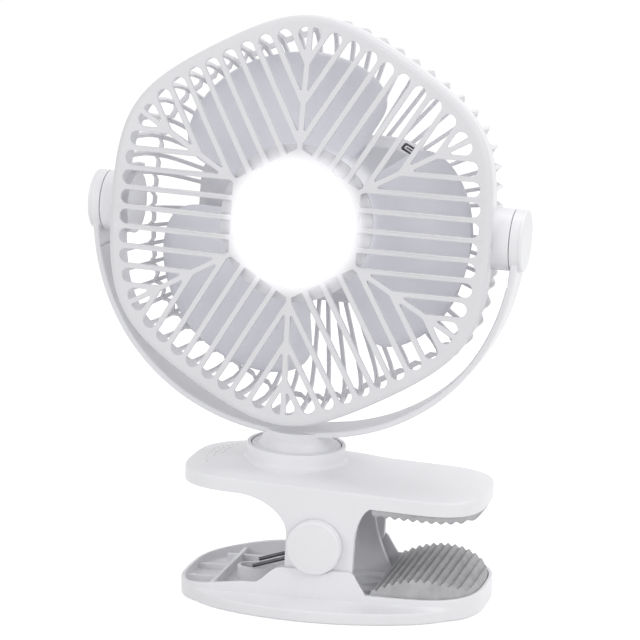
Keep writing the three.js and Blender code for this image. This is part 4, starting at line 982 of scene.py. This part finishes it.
def front_grille():
    """One plate with a bevel round every slot, whose outside edge runs round into the rim's wall."""
    wall_end = FACE_DEPTH - PARTING_DEPTH
    inner, start_flat = HEAD_FLAT - 2.2, HEAD_FLAT - 3
    steps, edge = 240, 0.42
    rim = eased([(start_flat, 0), (inner, 0, 1.5), (HEAD_FLAT - 0.5, 1.3, 2), (HEAD_FLAT, 4, 2),
                 (HEAD_FLAT, wall_end, 0.3), (inner, wall_end, 0.3), (inner, FACE_THICKNESS + 0.6, 0.6),
                 (inner - 0.6, FACE_THICKNESS), (start_flat, FACE_THICKNESS)])
    levels = [(depth, -inset) for depth, inset in edged(edge, 3)]
    levels += [(FACE_THICKNESS - depth * 0.6, -inset * 0.6) for depth, inset in reversed(edged(edge, 3))]
    walls = [[(hex_outline(radius, steps), y) for radius, y in rim]]
    walls += [[(inward(hole, inset), y) for y, inset in levels] for hole in grille_holes()]
    points, faces, caps = [], [], ([], [])
    for rings in walls:
        count, starts = len(rings[0][0]), []
        for outline, y in rings:
            starts.append(len(points))
            points += [(x, y, z) for x, z in outline]
        for one, two in zip(starts, starts[1:]):
            faces += band(one, two, count)
        for cap, start in zip(caps, (starts[0], starts[-1])):
            cap.append(range(start, start + count))
    for loops in caps:
        spots = [[Vector((points[k][0], points[k][2], 0)) for k in loop] for loop in loops]
        names = [k for loop in loops for k in loop]
        faces += [tuple(names[k] for k in face) for face in tessellate_polygon(spots)]
    domed = [(x, y + FACE_CURVE * (x * x + z * z) * (1 - y / wall_end) - FACE_DEPTH, z) for x, y, z in points]
    return solid(domed, faces)


piece("grille", front_grille(), "white_plastic", "head", ["front_grille"], HEAD, look="head_plastic")


# ---- lamp
top = FACE_DEPTH + 1.6
lens = eased([(0, top), (9, top - 0.18), (17, top - 0.68), (23, top - 1.4), (LENS_FLAT - 0.9, top - 2.3, 3),
              (LENS_FLAT, top - 3.6, 1.5), (LENS_FLAT, 21.3), (0, 21.3)])
piece("lamp_lens", head_turned(lens, 180, factor=hex_factor), "lamp_diffuser", "head", ["led_lens"], HEAD)
cup = eased([(0, 11.5), (29, 11.5, 1), (34, 15.5, 3), (35, 20.7, 0.5), (25.8, 20.7, 0.3), (25.8, 18.5),
             (0, 18.5)])
piece("lamp_housing", head_turned(cup), "white_plastic", "head", ["lamp_cup"], HEAD, look="head_plastic")


# ---- rear guard
GUARD_RIBS, GUARD_RIB_WIDTH, GUARD_WALL = 62, 1.8, 2.8
GUARD_ROUND_INNER = 36.6
RIB_COLUMNS = ((-0.9, 1.0), (-0.72, 0.32), (-0.35, 0.0), (0.35, 0.0), (0.72, 0.32), (0.9, 1.0))
GAP_COLUMNS, RIB_ROUND = 3, 0.55
ROUND_WITHIN, HEXAGON_FROM = 45, 72
BOSS_HALF_ANGLE, BOSS_BACK = 10.5, -14
SHOULDER_DEPTH, SHOULDER_INSET = -23, 2.4


def guard_line():
    """The guard's outside as (flat radius, depth, ring) rows, with its bends eased."""
    flat = HEAD_FLAT
    stretches = (
        (True, [(flat - 0.6, PARTING_DEPTH - GAP), (flat - 0.6, 9), (flat - 0.6, 4)]),
        (False, [(flat - 0.62, 0), (flat - 0.75, -5), (flat - 0.9, -10), (flat - 1.1, -14),
                 (flat - 1.9, -17.5), (flat - 2.8, -20.3), (flat - 3.5, -22.5)]),
        (True, [(flat - 4.1, -23.8), (flat - 4.9, -24.9)]),
        (False, [(flat - 7, -27.2), (flat - 9.5, -29.4), (flat - 12.5, -31), (flat - 17, -32.1),
                 (flat - 24, -32.8), (flat - 33, -33.2), (flat - 41, -33.4), (GUARD_ROUND_INNER + 3, -33.4)]),
        (True, [(GUARD_ROUND_INNER, -33.4)]),
    )
    return [(r, depth, ring) for ring, line in stretches for r, depth in line]


def inside_line(rows):
    made = []
    for i, (r, depth, ring) in enumerate(rows):
        before, after = rows[max(0, i - 1)], rows[min(len(rows) - 1, i + 1)]
        run = Vector((after[0] - before[0], after[1] - before[1])).normalized()
        if i == len(rows) - 1:
            made.append((r, depth + GUARD_WALL))
        else:
            made.append((r + run.y * GUARD_WALL, depth - run.x * GUARD_WALL if i else depth))
    return made


def guard_cage():
    """One closed skin of rounded ribs and rings: a grid of cells round the drum, some of them left open."""
    outer = guard_line()
    inner = inside_line(outer)
    ribbed = len(RIB_COLUMNS)
    per_rib = ribbed + GAP_COLUMNS
    columns, rows = GUARD_RIBS * per_rib, len(outer)
    pitch = 2 * pi / GUARD_RIBS

    def open_row(i):
        return 0 <= i < rows - 1 and not (outer[i][2] and outer[i + 1][2])

    points = []
    for way, line, other in ((1, outer, inner), (-1, inner, outer)):
        for i, (size, depth, ring) in enumerate(outer):
            rounding = RIB_ROUND if open_row(i) and open_row(i - 1) else 0
            dip = SHOULDER_INSET * way if SHOULDER_DEPTH - 3 < depth < SHOULDER_DEPTH else 0
            share = smoothstep(size, ROUND_WITHIN, HEXAGON_FROM)
            half = GUARD_RIB_WIDTH / 2 / size
            for column in range(columns):
                rib, k = divmod(column, per_rib)
                if k < ribbed:
                    offset, sink = RIB_COLUMNS[k]
                    turn, sink = offset / 0.9 * half, sink * rounding
                else:
                    turn, sink = mixed(half, pitch - half, (k - ribbed + 1) / (GAP_COLUMNS + 1)), dip
                angle = (rib + 0.5) * pitch + turn
                r, d = (mixed(a, b, sink / GUARD_WALL) for a, b in zip(line[i][:2], other[i]))
                reach = r * (1 + (hex_factor(angle) - 1) * share)
                points.append((reach * cos(angle), -d, reach * sin(angle)))

    def at(shell, row, column):
        return (shell * rows + row) * columns + column % columns

    def near_boss(column):
        angle = (column / per_rib + 0.5) / GUARD_RIBS * 360 % 360
        return min(abs(angle - 180), angle, 360 - angle) < BOSS_HALF_ANGLE

    def filled(row, column):
        if not 0 <= row < rows - 1:
            return False
        if column % per_rib < ribbed - 1 or not open_row(row):
            return True
        return outer[row][1] > BOSS_BACK and near_boss(column)

    faces = []
    for row in range(rows - 1):
        for column in range(columns):
            if not filled(row, column):
                continue
            cell = [(row, column), (row, column + 1), (row + 1, column + 1), (row + 1, column)]
            (a, b, c, d), (e, f, g, h) = ([at(shell, *corner) for corner in cell] for shell in (0, 1))
            faces += [(a, b, c, d), (e, h, g, f)]
            for row_step, column_step, side in ((-1, 0, (a, e, f, b)), (1, 0, (c, g, h, d)),
                                                (0, -1, (d, h, e, a)), (0, 1, (b, f, g, c))):
                if not filled(row + row_step, (column + column_step) % columns):
                    faces.append(side)
    return solid(points, faces)


def rear_guard():
    boss = eased([(0, BOSS_START), (PIVOT_DISC_RADIUS, BOSS_START), (PIVOT_DISC_RADIUS, BOSS_END, 0.5),
                  (0, BOSS_END)])
    bore = drum(PIVOT_BORE, BOSS_START + 0.6, BOSS_END + 1)
    return cut(joined(guard_cage(), *both_sides(boss)), *both_sides(bore, 48))


piece("guard", rear_guard(), "white_plastic", "head", ["rear_guard"], HEAD)

# ---- rear housing, cover and buttons
HOUSING_X, HOUSING_Z, HOUSING_CORNER, HOUSING_CHAMFER = 58, 38.5, 29, 4.5
HOUSING_FRONT, HOUSING_BACK, COVER_BACK = -17.5, -29.2, -35.4
PORT_TURN, PORT_WIDTH, PORT_HEIGHT, PORT_DEPTH = 62, 11.5, 4.6, 5


def rounded_rectangle(half_x, half_z, corner):
    signs = ((1, 1), (-1, 1), (-1, -1), (1, -1))
    return eased([(x * half_x, z * half_z, corner) for x, z in signs], True, 16)


def port_place():
    """The port's frame: its long side runs along the housing's round corner, on the chamfer."""
    c, s = cos(radians(PORT_TURN)), sin(radians(PORT_TURN))
    out, along = Vector((c, 0, s)), Vector((s, 0, -c))
    facing_out = (out + Vector((0, -1, 0))).normalized()
    centre = Vector((HOUSING_X - HOUSING_CORNER, 0, HOUSING_Z - HOUSING_CORNER))
    centre += out * (HOUSING_CORNER - HOUSING_CHAMFER / 2)
    centre.y = -HOUSING_FRONT + HOUSING_CHAMFER / 2
    return Matrix.Translation(centre) @ Matrix((along, facing_out.cross(along), facing_out)).transposed().to_4x4()


def port_block(inset_x, inset_y, corner, low, high, edge=0):
    """A block in the port, so much smaller on each side, between two heights above its mouth."""
    outline = rounded_rectangle(PORT_WIDTH / 2 - inset_x, PORT_HEIGHT / 2 - inset_y, corner)
    made = prism(outline, low, high, edge, "z")
    made.transform(port_place())
    return made


def rear_housing():
    outline = rounded_rectangle(HOUSING_X, HOUSING_Z, HOUSING_CORNER)
    front, back = -HOUSING_FRONT, -HOUSING_BACK
    chamfer = HOUSING_CHAMFER
    levels = [(chamfer + 0.6, front), (chamfer + 0.15, front + 0.15), (chamfer - 0.4, front + 0.6),
              (0.6, front + chamfer - 0.4), (0.15, front + chamfer), (0, front + chamfer + 0.5)]
    body = lofted(levels + high_edge(back, 1.6), lambda inset: inward(outline, inset), "y")
    port = port_block(0, 0, 1.2, -PORT_DEPTH, 5)
    return cut(body, turned(drum(MOTOR_RADIUS + GAP, 10, 25.5), "y"), port)


piece("housing", rear_housing(), "white_plastic", "head", ["rear_housing"], HEAD, look="head_plastic")


# the charging socket's black frame, and its bright metal shell with a slot
low = 0.1 - PORT_DEPTH
socket = cut(port_block(0.1, 0.1, 1.1, low, -0.7, 0.2), port_block(1, 0.95, 0.9, low + 1, 0.3))
shell = cut(port_block(1.15, 1.1, 0.8, 1.2 - PORT_DEPTH, -0.3, 0.15), port_block(1.9, 1.95, 0.3, -1.8, 0.7))
piece("port_socket", socket, None, "head", (), HEAD, look="port_black")
piece("port_shell", shell, "pin_steel", "head", (), HEAD)


def back_cover():
    """The round back plate: two button holes, a shallow groove round them and a dished rim."""
    radius = GUARD_ROUND_INNER - GAP
    front, back = HOUSING_BACK - GAP, COVER_BACK
    profile = eased([(0, front), (radius, front), (radius, back, 1.4), (31, back, 0.4), (30.4, back + 0.7, 0.3),
                     (29.2, back + 0.7, 0.3), (28.6, back, 0.4), (0, back)])
    body = head_turned(profile, 144)
    hole = drum(BUTTON_RADIUS + GAP, back - 1, front + 1)
    dish = eased([(0, back - 0.1), (8, back - 0.1), (5, back + 0.8), (0, back + 0.8)])
    for side in (-1, 1):
        body = cut(body, *(head_turned(line, 64, (side * BUTTON_OFFSET, 0, 0)) for line in (hole, dish)))
    return cut(body, *(head_turned(drum(1.5, back - 1, back + 1.6), 32, spot) for spot in SCREW_SPOTS))


piece("back_plate", back_cover(), "white_plastic", "head", ["back_cover"], HEAD)


def button_cap(side):
    """A push button with a rounded edge, a thumb dish and a raised mark: a dot or a bar."""
    outer = COVER_BACK - 1.8
    profile = eased([(0, outer + 4.6), (BUTTON_RADIUS, outer + 4.6), (BUTTON_RADIUS, outer, 0.7),
                     (3.6, outer + 0.02, 0.5), (2.2, outer + 0.4), (0, outer + 0.5)])
    body = head_turned(profile, 64)
    if side < 0:
        mark = head_turned(drum(DOT_RADIUS, outer + 1, outer + 0.1), 32)
    else:
        mark = slab((-1.6, 1.6), (-outer - 1, -outer - 0.1), (-0.4, 0.4), 0.1)
    made = joined(body, mark)
    made.transform(Matrix.Translation((side * BUTTON_OFFSET, 0, 0)))
    return made


for side, name in ((-1, "speed_button"), (1, "lamp_button")):
    piece(f"{name}_cap", button_cap(side), "button_plastic", name, [name], HEAD)


def screw_head():
    """A small cross-head screw, seen in the back plate."""
    made = turned(eased([(0, -1), (1.35, -1), (1.35, 0.15, 0.3), (0, 0.3)]), "y", 32)
    return cut(made, *(slab((-x, x), (0, 1), (-z, z), 0) for x, z in ((0.9, 0.16), (0.16, 0.9))))


for number, (x, y, z) in enumerate(SCREW_SPOTS, 1):
    spot = Matrix.Translation((x, -COVER_BACK - 1.4, z))
    piece(f"cover_screw_{number}", screw_head(), "pin_steel", "head", (), HEAD @ spot)

# ---- motor and rotor
motor = eased([(0, -25.2), (MOTOR_RADIUS, -25.2), (MOTOR_RADIUS, -4, 1.2), (6, -4, 0.4), (5.4, -3.4, 0.4),
               (3, -3.4), (1.5, -3.4), (1.5, 4), (0, 4)])
piece("motor_can", head_turned(motor), "pin_steel", "head", ["motor"], HEAD)

HUB_RADIUS, HUB_FRONT, HUB_BACK, BLADE_TIP, BLADE_HALF_ANGLE = 21, 7, -13, 75, 49
BLADE_ROWS, BLADE_COLUMNS = 36, 32
BLADE_MIDDLE, BLADE_CAMBER, BLADE_PITCH, BLADE_HALF_THICKNESS = -4, 2.4, (9, 4.5), (1.15, 0.9)


def blade(middle_angle):
    """A thin twisted leaf, closed all round, that thins towards its edges."""
    root = HUB_RADIUS - 1.2
    middle = (root + BLADE_TIP) / 2
    half_span = BLADE_TIP + 0.5 - middle
    rings = []
    for i in range(BLADE_ROWS + 1):
        out = sin(pi / 2 * i / BLADE_ROWS)
        r = mixed(root, BLADE_TIP, out)
        width = sqrt(1 - abs((r - middle) / half_span) ** 4)
        ring = []
        for face in (1, -1):
            order = range(BLADE_COLUMNS + 1) if face > 0 else reversed(range(BLADE_COLUMNS + 1))
            for j in order:
                across = -cos(pi * j / BLADE_COLUMNS)
                angle = radians(middle_angle + BLADE_HALF_ANGLE * width * across)
                rise = mixed(*BLADE_PITCH, out) * across * width
                thin = (1 - abs(across) ** 8) ** 0.5 * 0.78 + 0.12
                depth = BLADE_MIDDLE + rise + BLADE_CAMBER * (1 - across * across)
                depth += face * thin * mixed(*BLADE_HALF_THICKNESS, out)
                ring.append((r * cos(angle), -depth, r * sin(angle)))
        rings.append(ring)
    return skin(rings)


def fan_rotor():
    inner, roof = HUB_RADIUS - 2.4, HUB_FRONT - 2.4
    hub = eased([(0, HUB_FRONT), (HUB_RADIUS - 3, HUB_FRONT, 3), (HUB_RADIUS, HUB_FRONT - 4, 3),
                 (HUB_RADIUS, HUB_BACK, 0.5), (inner, HUB_BACK, 0.5), (inner, roof, 1), (3.8, roof), (3.8, -3),
                 (1.8, -3), (1.8, 5), (0, 5)])
    return joined(head_turned(hub), *(blade(120 * i) for i in range(3)))


piece("rotor", fan_rotor(), "blade_plastic", "rotor", ["fan_rotor"], ROTOR, sharp=40)
